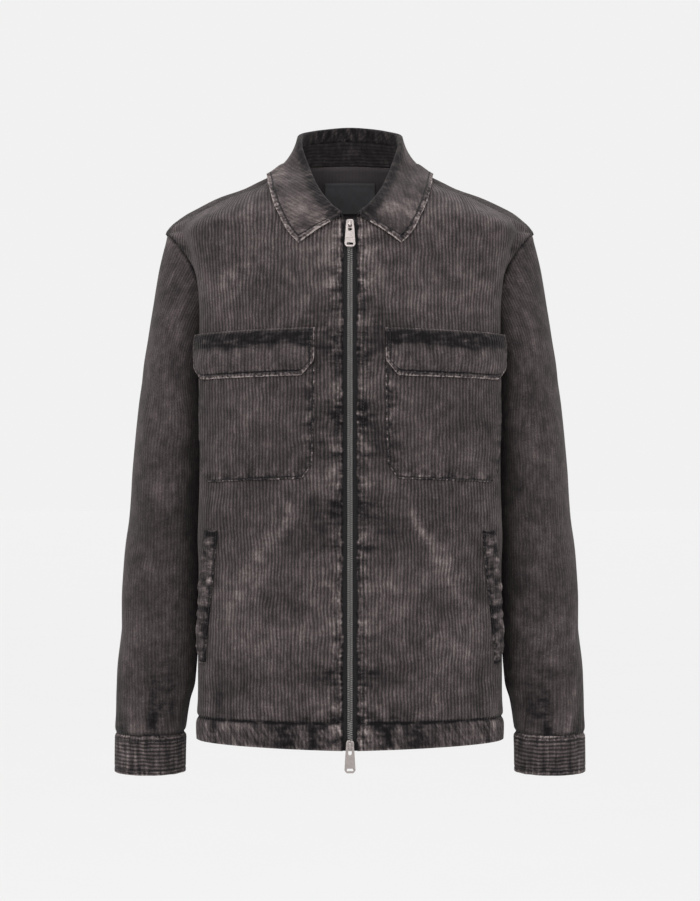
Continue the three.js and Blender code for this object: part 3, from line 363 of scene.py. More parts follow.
def level_normals(points, across, heights):
    """Outward directions of a panel. Its rows suddenly reach further just under the armhole, so there each
    place is compared with the same distance across on rows a little above and below it."""
    down = np.zeros(points.shape)
    for r, height in enumerate(heights):
        if abs(height - ARMHOLE_LOW[2]) > LEVEL_RANGE:
            continue
        above = max(int(np.sum(heights >= height + NORMAL_REACH)) - 1, 0)
        below = min(int(np.sum(heights > height - NORMAL_REACH)), len(heights) - 1)
        ends = []
        for k in (above, below):
            order = np.argsort(across[k])
            key = across[k][order]
            matched = np.stack([np.interp(across[r], key, points[k][order, d]) for d in range(3)], -1)
            inside = (across[r] >= key[0]) & (across[r] <= key[-1])
            ends.append(np.where(inside[:, None], matched, points[r]))
        down[r] = ends[1] - ends[0]
    level = unit(np.cross(down, np.gradient(points, axis=1)))
    share = smooth((LEVEL_RANGE - np.abs(heights - ARMHOLE_LOW[2])) / (LEVEL_RANGE / 2))[:, None, None]
    return unit(mix(grid_normals(points), level, share))


def carry_to_seam(normals, heights, to_seam):
    """Beside the top of the armhole, where a panel's rows turn under, keeps the directions of a
    little way in."""
    share = smooth((CARRY_TOP - heights) / 6) * smooth((heights - CARRY_LOW) / 40)
    carried = normals.copy()
    columns = np.arange(normals.shape[1])
    for r in np.flatnonzero(share > 0):
        far = np.flatnonzero(to_seam[r] >= CARRY_REACH)
        carried[r] = normals[r, np.clip(columns, far[0], far[-1])]
    return unit(mix(normals, carried, share[:, None, None]))


class Skin:
    """Grid of points seen from its outer side, rows going down, with what its cloth needs at each."""

    def __init__(self, points, across, run, loop=False, heights=None, to_seam=None):
        self.points = points
        self.loop = loop
        self.heights = heights
        self.to_seam = to_seam
        self.across = across
        self.run = run
        self.worn = np.zeros(across.shape)
        self.dark = np.zeros(across.shape)
        self.edge = np.full(across.shape, FAR)
        self.outer_drop = np.zeros(across.shape)
        self.inner_drop = np.zeros(across.shape)
        self.face()

    def face(self):
        """Works out the outward directions."""
        if self.heights is None:
            self.normals = grid_normals(self.points, self.loop)
        else:
            level = level_normals(self.points, self.across, self.heights)
            self.normals = carry_to_seam(level, self.heights, self.to_seam)

    def sink(self, depth):
        """Moves the grid in along its normals."""
        self.points = self.points - self.normals * depth[..., None]
        self.face()

    def sample(self, heights, places, keys):
        """Points, normals, across and run at given heights and places, given the grid's own keys."""
        rows, columns = keys
        r = np.interp(-heights, -rows, np.arange(len(rows)))
        c = np.interp(places, columns, np.arange(len(columns)))
        r0 = np.clip(np.floor(r).astype(int), 0, len(rows) - 2)
        c0 = np.clip(np.floor(c).astype(int), 0, len(columns) - 2)
        u, v = r - r0, c - c0

        def read(grid):
            a, b = (u[..., None], v[..., None]) if grid.ndim == 3 else (u, v)
            top = mix(grid[r0, c0], grid[r0, c0 + 1], b)
            return mix(top, mix(grid[r0 + 1, c0], grid[r0 + 1, c0 + 1], b), a)
        normal = read(self.normals)
        normal = normal / np.linalg.norm(normal, axis=-1, keepdims=True)
        return read(self.points), normal, read(self.across), read(self.run)


def round_edge(distance, radius=1.0):
    """How far the face of a rounded edge drops at a distance in from the edge."""
    near = np.clip(1 - distance / radius, 0, 1)
    return radius * (1 - np.sqrt(1 - near**2))


def pucker(distance, run, seed, size, reach, pitch):
    """Small uneven waves gathered by a seam, largest at reach from it, pitch from one to the next."""
    wave = noise(run / pitch, 0, seed) + 0.5 * noise(run / pitch * 2.1, 0, seed + 1)
    return size * wave * distance / reach * np.exp(1 - distance / reach)


# Panels

SHOULDER_ROWS = -5 - spaced(81, STEP, False, False)[:-1]
ARMHOLE_ROWS = armhole(np.linspace(0, math.pi, ARMHOLE_STEPS + 1))[:, 2]
BODY_ROWS = ARMHOLE_LOW[2] - spaced(ARMHOLE_LOW[2] - HEM_SEAM, STEP, False, True)[1:]
PANEL_ROWS = np.concatenate([SHOULDER_ROWS, ARMHOLE_ROWS, BODY_ROWS])
HEM_ROWS = HEM_SEAM - spaced(HEM_SEAM - HEM_EDGE, 2.6)
FRONT_PLACES = np.concatenate([spaced(170, STEP, True, False) / 170,
    1 + spaced(75, STEP, False, True)[1:] / 75])
BACK_PLACES = np.concatenate([
    spaced(40, STEP, True, False) / 40, 1 + spaced(75, 4, False, False)[1:] / 75,
    2 + spaced(105, 4.2, False, False)[1:] / 105])
FRONT_KEYS = (PANEL_ROWS, FRONT_PLACES)


def front_skin(rows):
    """The wearer's left front from the zip edge (place 0) past the fold (1) to the seam (2)."""
    def pair(x, y):
        return np.stack([FRONT.at(x, rows), FRONT.at(y, rows)], -1)
    fold = pair("foldX", "foldY")
    chest = plan_curve(pair("startX", "startY"), FRONT.at("startTurn", rows), fold,
        FRONT.at("foldTurn", rows))
    side = plan_curve(fold, FRONT.at("tuckTurn", rows), seam_points(rows, -1), FRONT.at("seamTurn", rows))
    first = FRONT_PLACES <= 1
    near, near_run = along(chest, FRONT_PLACES[first])
    far, far_run = along(side, FRONT_PLACES[~first] - 1)
    inner = SLANTS.at("inner", rows)[:, None]
    outer = SLANTS.at("outer", rows)[:, None]
    lift = np.where(first, mix(inner, outer, FRONT_PLACES), mix(outer, 0, FRONT_PLACES - 1))
    height = rows[:, None] + lift
    run = np.concatenate([near_run, far_run + near_run[:, -1:]], 1)
    across = FRONT.at("startX", rows)[:, None] + run
    skin = Skin(np.concatenate([np.concatenate([near, far], 1), height[..., None]], 2), across, height,
                heights=rows, to_seam=run[:, -1:] - run)
    skin.from_zip = run
    return skin


def back_skin(rows):
    """The back from the wearer's left seam to the right one."""
    seam = seam_points(rows, 1)
    corner = seam + np.stack([BACK.at("cornerOut", rows), BACK.at("cornerBack", rows)], -1)
    blade = np.stack([BACK.at("bladeX", rows), BACK.at("bladeY", rows)], -1)
    centre = np.stack([np.zeros(len(rows)), BACK.at("backY", rows)], -1)
    turns = [BACK.at(name, rows) for name in ("seamTurn", "cornerTurn", "bladeTurn")] + [np.full(len(rows),
        180.0)]
    stops = [seam, corner, blade, centre]
    flats, runs, base = [], [], np.zeros((len(rows), 1))
    for k in range(3):
        chosen = (BACK_PLACES > k if k else BACK_PLACES >= 0) & (BACK_PLACES <= k + 1)
        flat, run = along(plan_curve(stops[k], turns[k], stops[k + 1], turns[k + 1]),
            BACK_PLACES[chosen] - k)
        flats.append(flat)
        runs.append(run + base)
        base = runs[-1][:, -1:]
    flat, run = np.concatenate(flats, 1), np.concatenate(runs, 1)
    lift = 10 * (1 - smooth((PANEL_ROWS[0] - rows) / 9))[:, None] * smooth((BACK_PLACES - 0.6) / 2.4)
    height = rows[:, None] + lift
    half = np.concatenate([flat, height[..., None]], 2)
    points = np.concatenate([half, half[:, -2::-1] * [-1, 1, 1]], 1)
    from_centre = run[:, -1:] - run
    skin = Skin(points, np.concatenate([from_centre, -from_centre[:, -2::-1]], 1),
                np.concatenate([height, height[:, -2::-1]], 1),
                heights=rows, to_seam=np.concatenate([run, run[:, -2::-1]], 1))
    return skin


SEAM_CURL = 1.5
SEAM_WIDTH = 2.4


def curl(distance):
    return SEAM_CURL * np.exp(-(distance / SEAM_WIDTH)**2)


def armhole_curl(skin):
    """A panel's edge turning in at its side or armhole seam. It is flat over the top of the armhole."""
    return curl(skin.to_seam) * smooth((CURL_TOP - skin.points[..., 2]) / 40)


def dress_front(skin, rows, hem=False):
    """Folds, seams, puckers and wear of a front panel or its hem band, with painted shade in the pucker
    hollows, beside the zip and along the seams.
    """
    x, z = skin.points[..., 0], skin.points[..., 2]
    zip_side = np.where(rows[:, None] <= NECK_FRONT, skin.from_zip, 40)
    depth = folds(FRONT_FOLDS, x, z) * smooth(skin.to_seam / 10) * smooth(zip_side / 8)
    crease = folds(LIGHT_CREASES, x, z)
    wave = pucker(zip_side, z, 11, 0.75, 6, 9.5) + pucker(zip_side, z, 13, 0.5, 15, 24)
    wave = wave + pucker(skin.to_seam, z, 17, 0.5, 6, 13)
    depth = depth + wave + 0.7 * noise(x / 34, z / 52, 5) * smooth(skin.to_seam / 12) - crease * 0.9
    depth = depth + armhole_curl(skin) + 0.45 * np.exp(-((zip_side - 7) / 1.0)**2)
    hem_distance = np.abs(rows - HEM_SEAM)[:, None] + 0 * x
    hem_wave = pucker(hem_distance, skin.across, 23, 0.8, 6, 8) + pucker(hem_distance, skin.across, 24, 0.6,
        14, 17)
    if hem:
        hem_wave = pucker(hem_distance, skin.across, 23, 0.9, 11,
            7) * smooth((rows - HEM_EDGE)[:, None] / 8)
        depth = depth - 0.9 * smooth(hem_distance / 8)
        to_edge = (rows - HEM_EDGE)[:, None] + 0 * x
        skin.worn += 0.75 * np.exp(-(to_edge / 1.6)**2)
        skin.outer_drop += round_edge(to_edge)
        skin.inner_drop -= round_edge(to_edge)
        skin.dark += 0.9 * np.clip(noise(skin.across / 11, z / 34, 61), 0, 1)
    depth = depth + hem_wave + curl(hem_distance)
    skin.sink(depth)
    skin.outer_drop += round_edge(zip_side, 1.0)
    skin.inner_drop -= round_edge(zip_side, 1.0)
    beside = np.exp(-(zip_side / 16)**2)
    skin.worn += 0.75 * beside * (0.55 + 0.45 * noise(skin.across / 5, z / 26, 31))
    ragged = 0.8 * noise(z / 3.4, 0, 39) + 0.5 * noise(z / 9, 0, 40)
    skin.points[..., 0] += ragged * np.exp(-(zip_side / 2.5)**2)
    skin.dark += (1.2 + 0.6 * noise(z / 3, 0, 39)) * np.exp(-(zip_side / 2.2)**2)
    skin.edge = zip_side + 2.5
    # Pucker rises are worn lighter; the hollows, where the waves sink in, get painted shade.
    skin.worn += np.clip(-wave, 0, 1.5) * 0.45 + np.clip(-hem_wave, 0, 1.5) * 0.3 + crease * 0.8
    skin.dark += np.clip(wave, 0, 1.5) * 0.75 + np.clip(hem_wave, 0, 1.5) * 0.5
    # Painted shade beside the zip at the heights in ZIP_SHADOWS.
    zip_shade = sum(weight * np.exp(-((z - height) / spread)**2) for height, spread, weight in ZIP_SHADOWS)
    skin.dark += zip_shade * np.exp(-(zip_side / 14)**2) * (0.8 + 0.6 * noise(z / 4.5, x / 12, 37))
    # Painted shade along the side and armhole seam and in the groove of the hem seam.
    skin.dark += 0.4 * np.exp(-(skin.to_seam / 5)**2) + 1.3 * np.exp(-(hem_distance / 1.6)**2)
    return skin


# Painted shadows at the puckered places beside the zip: height, spread and strength
ZIP_SHADOWS = [(-92, 18, 0.5), (-160, 26, 0.8), (-236, 14, 0.45), (-300, 22, 0.8), (-404, 22, 0.9),
               (-470, 14, 0.3), (-594, 20, 0.9), (-640, 16, 0.6), (-676, 10, 0.6)]


def dress_back(skin, rows, hem=False):
    x, z = skin.points[..., 0], skin.points[..., 2]
    depth = folds(BACK_FOLDS, np.abs(x), z) * smooth(skin.to_seam / 10)
    wave = pucker(skin.to_seam, z, 19, 0.5, 6, 13)
    hem_distance = np.abs(rows - HEM_SEAM)[:, None] + 0 * x
    hem_wave = pucker(hem_distance, skin.across, 27, 0.8, 6, 8) + pucker(hem_distance, skin.across, 28, 0.6,
        14, 17)
    depth = depth + wave + 0.8 * noise(x / 38, z / 55, 7) * smooth(skin.to_seam / 12)
    if hem:
        hem_wave = pucker(hem_distance, skin.across, 27, 0.9, 11,
            7) * smooth((rows - HEM_EDGE)[:, None] / 8)
        depth = depth - 0.9 * smooth(hem_distance / 8)
        to_edge = (rows - HEM_EDGE)[:, None] + 0 * x
        skin.worn += 0.75 * np.exp(-(to_edge / 1.6)**2)
        skin.outer_drop += round_edge(to_edge)
        skin.inner_drop -= round_edge(to_edge)
        skin.dark += 0.9 * np.clip(noise(skin.across / 11, z / 34, 65), 0, 1)
    depth = depth + hem_wave + curl(hem_distance) + armhole_curl(skin)
    skin.sink(depth)
    # Pucker rises are worn lighter; their hollows, the side and armhole seam and the hem seam's groove get
    # painted shade.
    skin.worn += np.clip(-wave, 0, 1.5) * 0.45 + np.clip(-hem_wave, 0, 1.5) * 0.3
    skin.dark += np.clip(wave, 0, 1.5) * 0.7 + np.clip(hem_wave, 0, 1.5) * 0.5
    skin.dark += 0.4 * np.exp(-(skin.to_seam / 5)**2) + 1.3 * np.exp(-(hem_distance / 1.6)**2)
    return skin


def oval(height, angle):
    outer, inner = SLEEVE.at("outerX", height), SLEEVE.at("innerX", height)
    x = (outer + inner) / 2 + (outer - inner) / 2 * np.cos(angle)
    y = SLEEVE.at("centreY", height) + SLEEVE.at("halfDepth", height) * np.sin(angle)
    return np.stack(np.broadcast_arrays(x, y, height + 0 * x), -1)


def ring_runs(points):
    """Length round each ring, measured from its middle column."""
    steps = np.linalg.norm(np.diff(points, axis=1), axis=2)
    runs = np.concatenate([np.zeros((len(points), 1)), np.cumsum(steps, 1)], 1)
    return runs - runs[:, runs.shape[1] // 2:runs.shape[1] // 2 + 1]


SLEEVE_ANGLES = np.concatenate([
    np.linspace(-math.pi, 0, ARMHOLE_STEPS + 1), np.linspace(0, math.pi, ARMHOLE_STEPS + 1)[1:]])
SLEEVE_TOP = spaced(160, STEP, True, False) / 160
SLEEVE_ROWS = SLEEVE_LEVEL - spaced(SLEEVE_LEVEL - CUFF_SEAM, STEP, False, True)[1:]
CUFF_ROWS = CUFF_SEAM - spaced(CUFF_SEAM - CUFF_EDGE, 2.6)


def sleeve_skin():
    angle = SLEEVE_ANGLES[None, :]
    ring = armhole(SLEEVE_ANGLES)[None, :, :]
    share = SLEEVE_TOP[:, None]
    z = mix(ring[..., 2], SLEEVE_LEVEL, share)
    level = oval(z, angle + 0 * z)
    blend = (1 - (1 - np.clip(share / SLEEVE_BLEND, 0, 1))**2)[..., None]
    top = np.concatenate([mix(ring[..., :2], level[..., :2], blend), z[..., None]], 2)
    low = oval(SLEEVE_ROWS[:, None] + 0 * angle, angle)
    points = np.concatenate([top, low], 0)
    steps = np.linalg.norm(np.diff(points, axis=0), axis=2)
    skin = Skin(points, ring_runs(points), points[..., 2], True)
    skin.from_top = np.concatenate([np.zeros((1, points.shape[1])), np.cumsum(steps, 0)], 0)
    return skin


def dress_sleeve(skin):
    z = skin.points[..., 2]
    degrees = np.degrees(SLEEVE_ANGLES)[None, :] % 360 + 0 * z
    to_cuff = np.clip(z - CUFF_SEAM, 0, None)
    underarm = np.abs(np.abs(skin.across) - np.abs(skin.across[:, :1]))
    depth = folds(SLEEVE_FOLDS, degrees, z, 360, 0.9) * smooth(skin.from_top / 14) * smooth(to_cuff / 10)
    around = skin.across
    gather = pucker(to_cuff, around, 41, 1.3, 8, 8) + pucker(to_cuff, around, 42, 0.9, 26, 19)
    head = pucker(skin.from_top, around, 43, 0.5, 7, 14)
    depth = depth + gather + head + 0.8 * noise(around / 30, z / 46, 9) * smooth(skin.from_top / 14)
    depth = depth + curl(skin.from_top) + curl(to_cuff) + 0.8 * np.exp(-(underarm / 2)**2)
    skin.sink(depth)
    skin.worn += np.clip(-gather, 0, 1.5) * 0.4 + np.clip(-head, 0,
        1) * 0.35 + 0.25 * np.exp(-((skin.from_top - 4) / 3)**2)
    # Painted shade in the hollows of the gathers and of the sleeve head, and along the armhole, cuff and
    # underarm seams.
    skin.dark += np.clip(gather, 0, 1.5) * 0.55 + np.clip(head, 0, 1) * 0.5
    skin.dark += (0.4 * np.exp(-(skin.from_top / 4)**2) + 0.5 * np.exp(-(to_cuff / 3)**2) + 0.3
        * np.exp(-(underarm / 4)**2))
    return skin


def cuff_skin():
    """Cuff band: its wales run round the wrist, so they are counted down its height."""
    points = oval(CUFF_ROWS[:, None] + 0 * SLEEVE_ANGLES[None, :], SLEEVE_ANGLES[None, :])
    around = ring_runs(points)
    skin = Skin(points, points[..., 2] * 0.87, around, True)
    skin.around = around
    return skin


CUFF_LAP = 200.0


def dress_cuff(skin):
    z = skin.points[..., 2]
    to_seam, to_edge = CUFF_SEAM - z, z - CUFF_EDGE
    degrees = np.degrees(SLEEVE_ANGLES)[None, :] % 360 + 0 * z
    lap = (degrees - CUFF_LAP) * 0.75
    wave = pucker(to_seam, skin.around, 47, 0.5, 6, 8) + pucker(to_edge, skin.around, 48, 0.4, 5, 9)
    depth = wave + curl(to_seam) - 0.9 * smooth(to_seam / 5)
    depth = depth + 0.5 * np.exp(-((to_seam - 6.5) / 1)**2) + 0.5 * np.exp(-((to_edge - 5.5) / 1)**2)
    depth = depth - 0.9 * np.where(lap < 0, np.exp(-(lap / 14)**2), np.exp(-(lap / 1.2)**2))
    skin.sink(depth)
    skin.outer_drop += round_edge(to_edge)
    skin.inner_drop -= round_edge(to_edge)
    skin.edge = np.minimum(to_edge, to_seam - 1)
    skin.worn += 0.4 * np.exp(-(lap / 1.6)**2)
    # Painted shade along the cuff seam.
    skin.dark += 0.6 * np.exp(-(to_seam / 2)**2)
    return skin


# Mesh making

def make_mesh(name, points, faces, materials, slots=None, attributes=None, smooth_faces=True):
    """Mesh object in metres from points in millimetres."""
    mesh = bpy.data.meshes.new(name)
    faces = np.asarray(faces, np.int32)
    size = faces.shape[1]
    mesh.vertices.add(len(points))
    mesh.vertices.foreach_set("co", (np.asarray(points, np.float32) * MM).ravel())
    mesh.loops.add(faces.size)
    mesh.loops.foreach_set("vertex_index", faces.ravel())
    mesh.polygons.add(len(faces))
    mesh.polygons.foreach_set("loop_start", np.arange(0, faces.size, size, dtype=np.int32))
    mesh.polygons.foreach_set("loop_total", np.full(len(faces), size, np.int32))
    for material in materials:
        mesh.materials.append(material)
    if slots is not None:
        mesh.polygons.foreach_set("material_index", np.asarray(slots, np.int32))
    mesh.polygons.foreach_set("use_smooth", np.full(len(faces), smooth_faces))
    mesh.update(calc_edges=True)
    for key, values in (attributes or {}).items():
        mesh.attributes.new(key, "FLOAT", "POINT").data.foreach_set("value",
            np.asarray(values, np.float32).ravel())
    obj = bpy.data.objects.new(name, mesh)
    bpy.context.scene.collection.objects.link(obj)
    return obj


def wall_faces(rows, columns):
    """Quads of a closed wall whose outer grid comes first and inner grid second, and which are inner."""
    index = np.arange(rows * columns).reshape(rows, columns)
    quads = np.stack([index[:-1, :-1], index[1:, :-1], index[1:, 1:], index[:-1, 1:]], -1).reshape(-1, 4)
    count = rows * columns
    rim = np.concatenate([index[0, ::-1], index[1:, 0], index[-1, 1:], index[-2::-1, -1]])
    a, b = rim[:-1], rim[1:]
    edge = np.stack([b, a, a + count, b + count], -1)
    faces = np.concatenate([quads, quads[:, ::-1] + count, edge])
    slots = np.concatenate([np.zeros(len(quads)), np.ones(len(quads)), np.zeros(len(edge))])
    return faces, slots


def wall(name, skin, outer_level, inner_level, materials, mirror=False):
    """Closed wall on a skin between two levels measured out from it."""
    outer = skin.points + skin.normals * (outer_level - skin.outer_drop)[..., None]
    inner = skin.points + skin.normals * (inner_level - skin.inner_drop)[..., None]
    points = np.concatenate([outer.reshape(-1, 3), inner.reshape(-1, 3)])
    faces, slots = wall_faces(*skin.across.shape)
    if mirror:
        points = points * [-1, 1, 1]
        faces = faces[:, ::-1]
    attributes = {
        "grain": np.tile(skin.across.ravel(), 2) * MM, "lengthwise": np.tile(skin.run.ravel(), 2) * MM,
        "worn": np.tile(skin.worn.ravel(), 2), "dark": np.tile(skin.dark.ravel(), 2),
        "edge": np.tile(skin.edge.ravel(), 2),
    }
    if mirror:
        attributes["grain"] = -attributes["grain"] + 0.9
    return make_mesh(name, points, faces, materials, slots, attributes)


def ride(obj, *nodes, body="jacket", slot="corduroy"):
    """The piece rides on a body and stands for its CAD nodes. Its slot is not used."""
    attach(obj, body)
    if nodes:
        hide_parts(*nodes)
    return obj


# Materials

class Nodes:
    """Short calls for building a material's node tree."""

    def __init__(self, name, roughness, metallic=0.0):
        self.material = bpy.data.materials.new(name)
        self.material.use_nodes = True
        self.tree = self.material.node_tree
        self.shader = self.tree.nodes["Principled BSDF"]
        self.shader.inputs["Roughness"].default_value = roughness
        self.shader.inputs["Metallic"].default_value = metallic

    def node(self, kind, inputs=(), **settings):
        node = self.tree.nodes.new(kind)
        for key, value in settings.items():
            setattr(node, key, value)
        for key, value in dict(inputs).items():
            self.link(value, node.inputs[key])
        return node

    def link(self, value, socket):
        if isinstance(value, bpy.types.NodeSocket):
            self.tree.links.new(value, socket)
        else:
            socket.default_value = value

    def maths(self, operation, a, b=0.0, c=0.0):
        return self.node("ShaderNodeMath", {0: a, 1: b, 2: c}, operation=operation).outputs[0]

    def spread(self, noise, size, middle=0.0):
        """A noise that lies around a half, moved to lie around a middle and made larger."""
        return self.maths("MULTIPLY_ADD", noise, size, middle - 0.5 * size)

    def bell(self, value, centre, width):
        """Rises to 1 at a centre and falls away within a width."""
        off = self.maths("DIVIDE", self.maths("SUBTRACT", value, centre), width)
        return self.maths("EXPONENT", self.maths("MULTIPLY", self.maths("MULTIPLY", off, off), -1.0))

    def attribute(self, name):
        return self.node("ShaderNodeAttribute", attribute_name=name).outputs["Fac"]

    def vector(self, x, y, z=0.0):
        return self.node("ShaderNodeCombineXYZ", {0: x, 1: y, 2: z}).outputs[0]

    def noise(self, vector, scale, detail=3.0, roughness=0.55):
        inputs = {"Vector": vector, "Scale": scale, "Detail": detail, "Roughness": roughness}
        return self.node("ShaderNodeTexNoise", inputs).outputs["Fac"]

    def ramp(self, value, *stops):
        node = self.node("ShaderNodeValToRGB", {"Fac": value})
        elements = node.color_ramp.elements
        for k, (place, color) in enumerate(stops):
            element = elements[k] if k < 2 else elements.new(place)
            element.position = place
            element.color = (*color, 1)
        return node.outputs["Color"]

    def bump(self, height, distance, strength=1.0, below=None):
        inputs = {"Height": height, "Distance": distance, "Strength": strength}
        if below is not None:
            inputs["Normal"] = below
        return self.node("ShaderNodeBump", inputs).outputs["Normal"]

    def finish(self, color, normal=None):
        self.link(color, self.shader.inputs["Base Color"])
        if normal is not None:
            self.link(normal, self.shader.inputs["Normal"])
        return self.material


def corduroy(name, level=0.0, ribs=0.24, pitch=WALE_PITCH, stitch=5.0, band=1.0, gather=0.36, bars=None):
    """Acid-washed corduroy: wales along the grain, a cloudy wash, worn edges, and darker places from the
    dark attribute, mostly painted shade in hollows, along seams and beside the zip, with wash blotches on
    the hem bands. Its sewing runs at a distance in from the edge. Band says how strong the dashes in the
    sewn strip and at the worn rim are, with painted shade in pucker hollows, wear on their rises and
    painted shade in the sewing groove; gather says how strong the bumped puckers beyond are, with painted
    shade in their hollows and wear on their rises; bars are streaks, given as how fast they change across
    and along the cloth, and how far they slant."""
    m = Nodes(name, 0.95)
    m.shader.inputs["Specular IOR Level"].default_value = 0.12
    m.shader.inputs["Sheen Weight"].default_value = 0.1
    m.shader.inputs["Sheen Roughness"].default_value = 0.45
    m.shader.inputs["Sheen Tint"].default_value = (0.85, 0.78, 0.77, 1)
    grain, lengthwise = m.attribute("grain"), m.attribute("lengthwise")
    worn, dark, edge = m.attribute("worn"), m.attribute("dark"), m.attribute("edge")
    flat = m.vector(grain, lengthwise)
    wobble = m.maths("ADD", m.spread(m.noise(flat, 14, 2), 0.008), m.spread(m.noise(flat, 60, 2), 0.0028))
    phase = m.maths("DIVIDE", m.maths("ADD", grain, wobble), pitch * MM)
    wave = m.maths("SINE", m.maths("MULTIPLY", phase, 2 * math.pi))
    ridge = m.maths("POWER", m.maths("MULTIPLY_ADD", wave, 0.5, 0.5), 0.8)
    wale = m.maths("FLOOR", m.maths("ADD", phase, 0.25))
    cloud = m.noise(flat, 75, 4, 0.6)
    rub = m.spread(m.noise(flat, 45, 4, 0.6), 2.0)
    streak = m.noise(m.vector(m.maths("MULTIPLY", grain, 6), lengthwise), 42, 4, 0.6)
    each = m.noise(m.vector(m.maths("MULTIPLY", wale, 0.37), m.maths("MULTIPLY", lengthwise, 45)), 1.0, 4,
        0.65)
    pile = m.noise(m.vector(m.maths("MULTIPLY", grain, 1.6), lengthwise), 520, 3, 0.65)
    depth = m.maths("MULTIPLY_ADD", rub, 0.5 * ribs, ribs)
    tone = m.maths("ADD", 0.5 + level, m.maths("MULTIPLY", m.maths("SUBTRACT", ridge, 0.5), depth))
    for part, size in ((m.noise(flat, 15, 6, 0.62), 0.5), (cloud, 0.4), (streak, 0.3), (each, 0.3),
            (pile, 0.6)):
        tone = m.maths("ADD", tone, m.spread(part, size))
    tone = m.maths("ADD", tone, m.maths("MULTIPLY", m.maths("MULTIPLY", worn, m.spread(cloud, 2.0, 0.8)),
        0.42))
    # The dark attribute darkens the cloth: mostly painted shade, with wash blotches on the hem bands.
    crinkle = m.noise(m.vector(m.maths("MULTIPLY", grain, 0.45), lengthwise), 170, 3, 0.5)
    tone = m.maths("SUBTRACT", tone, m.maths("MULTIPLY",
        m.maths("MULTIPLY", dark, m.spread(crinkle, 4.5, 0.9)), 0.4))
    # In the sewn strip, light and dark dashes: painted shade in pucker hollows and wear on their rises. At
    # the sewing line there is painted shade in its groove, and at the rim there is wear. Beyond the sewing,
    # bumped puckers get painted shade in their hollows and wear on their rises.
    dash, pinch = m.spread(m.noise(flat, 290, 2), 2.6), m.spread(m.noise(flat, 135, 2), 2.6)
    inside = m.maths("LESS_THAN", edge, stitch)
    fade = m.maths("EXPONENT", m.maths("DIVIDE", m.maths("MAXIMUM", m.maths("SUBTRACT", edge, stitch), 0.0),
        -5.5))
    beyond = m.maths("MULTIPLY", m.maths("SUBTRACT", fade, inside), pinch)
    sewn, rim = m.bell(edge, stitch, 0.85), m.bell(edge, 0.4, 0.9)
    for part, size in ((m.maths("MULTIPLY", inside, m.maths("MULTIPLY_ADD", dash, 0.45, 0.05)), band),
                       (m.maths("MULTIPLY", rim, m.maths("MULTIPLY_ADD", dash, 0.2, 0.3)), band),
                       (m.maths("MULTIPLY", sewn, m.maths("MULTIPLY_ADD", dash, -0.1, 0.4)), -band),
                       (beyond, gather)):
        tone = m.maths("ADD", tone, m.maths("MULTIPLY", part, size))
    height = m.maths("ADD", m.maths("MULTIPLY", ridge, 3.6 * ribs), m.maths("MULTIPLY", pile, 0.5))
    height = m.maths("ADD", height, m.maths("MULTIPLY_ADD", beyond, 1.2 * gather,
        m.maths("MULTIPLY", sewn, -0.5 * band)))
    if bars:
        slant = m.maths("ADD", grain, m.maths("MULTIPLY", lengthwise, bars[2]))
        place = m.vector(m.maths("MULTIPLY", slant, bars[0]), m.maths("MULTIPLY", lengthwise, bars[1]))
        streaks = m.spread(m.noise(place, 190, 3), 1.0)
        tone = m.maths("ADD", tone, m.maths("MULTIPLY", streaks, 1.1))
        height = m.maths("ADD", height, streaks)
    color = m.ramp(
        tone, (0.0, (0.0035, 0.0030, 0.0034)), (0.25, (0.0105, 0.0092, 0.0098)), (0.45,
            (0.029, 0.0235, 0.0240)),
        (0.62, (0.060, 0.0485, 0.0485)), (0.82, (0.125, 0.104, 0.102)), (1.0, (0.24, 0.205, 0.198)))
    return m.finish(color, m.bump(height, 0.001, 0.8))


def reverse_cloth():
    """Woven back of the corduroy, plain and matt, with faint lines under the wales."""
    m = Nodes("corduroy_reverse", 0.92)
    m.shader.inputs["Specular IOR Level"].default_value = 0.2
    m.shader.inputs["Sheen Weight"].default_value = 0.1
    grain, lengthwise = m.attribute("grain"), m.attribute("lengthwise")
    flat = m.vector(grain, lengthwise)
    lines = m.maths("SINE", m.maths("MULTIPLY", grain, 2 * math.pi / (WALE_PITCH * MM)))
    warp = m.maths("SINE", m.maths("MULTIPLY", grain, 2 * math.pi / 0.0008))
    weft = m.maths("SINE", m.maths("MULTIPLY", lengthwise, 2 * math.pi / 0.0007))
    weave = m.maths("MULTIPLY", warp, weft)
    tone = m.maths("MULTIPLY_ADD", m.noise(flat, 30, 5), 0.5, 0.25)
    tone = m.maths("ADD", tone, m.maths("MULTIPLY", lines, 0.05))
    tone = m.maths("ADD", tone, m.maths("MULTIPLY", weave, 0.05))
    color = m.ramp(tone, (0.1, (0.022, 0.019, 0.021)), (0.9, (0.070, 0.060, 0.063)))
    return m.finish(color, m.bump(weave, 0.0002, 0.5))


def woven(name, dark, light, ribs=0.0012):
    """Fine woven tape or label cloth."""
    m = Nodes(name, 0.85)
    m.shader.inputs["Specular IOR Level"].default_value = 0.25
    grain, lengthwise = m.attribute("grain"), m.attribute("lengthwise")
    slant = m.maths("ADD", grain, m.maths("MULTIPLY", lengthwise, 0.6))
    rib = m.maths("SINE", m.maths("MULTIPLY", slant, 2 * math.pi / ribs))
    cross = m.maths("SINE", m.maths("MULTIPLY", lengthwise, 2 * math.pi / (ribs * 0.7)))
    weave = m.maths("MULTIPLY_ADD", m.maths("MULTIPLY", rib, cross), 0.5, 0.5)
    tone = m.maths("MULTIPLY_ADD", m.noise(m.vector(grain, lengthwise), 120, 4), 0.7,
        m.maths("MULTIPLY", weave, 0.3))
    return m.finish(m.ramp(tone, (0.15, dark), (0.85, light)), m.bump(weave, 0.00025, 0.6))


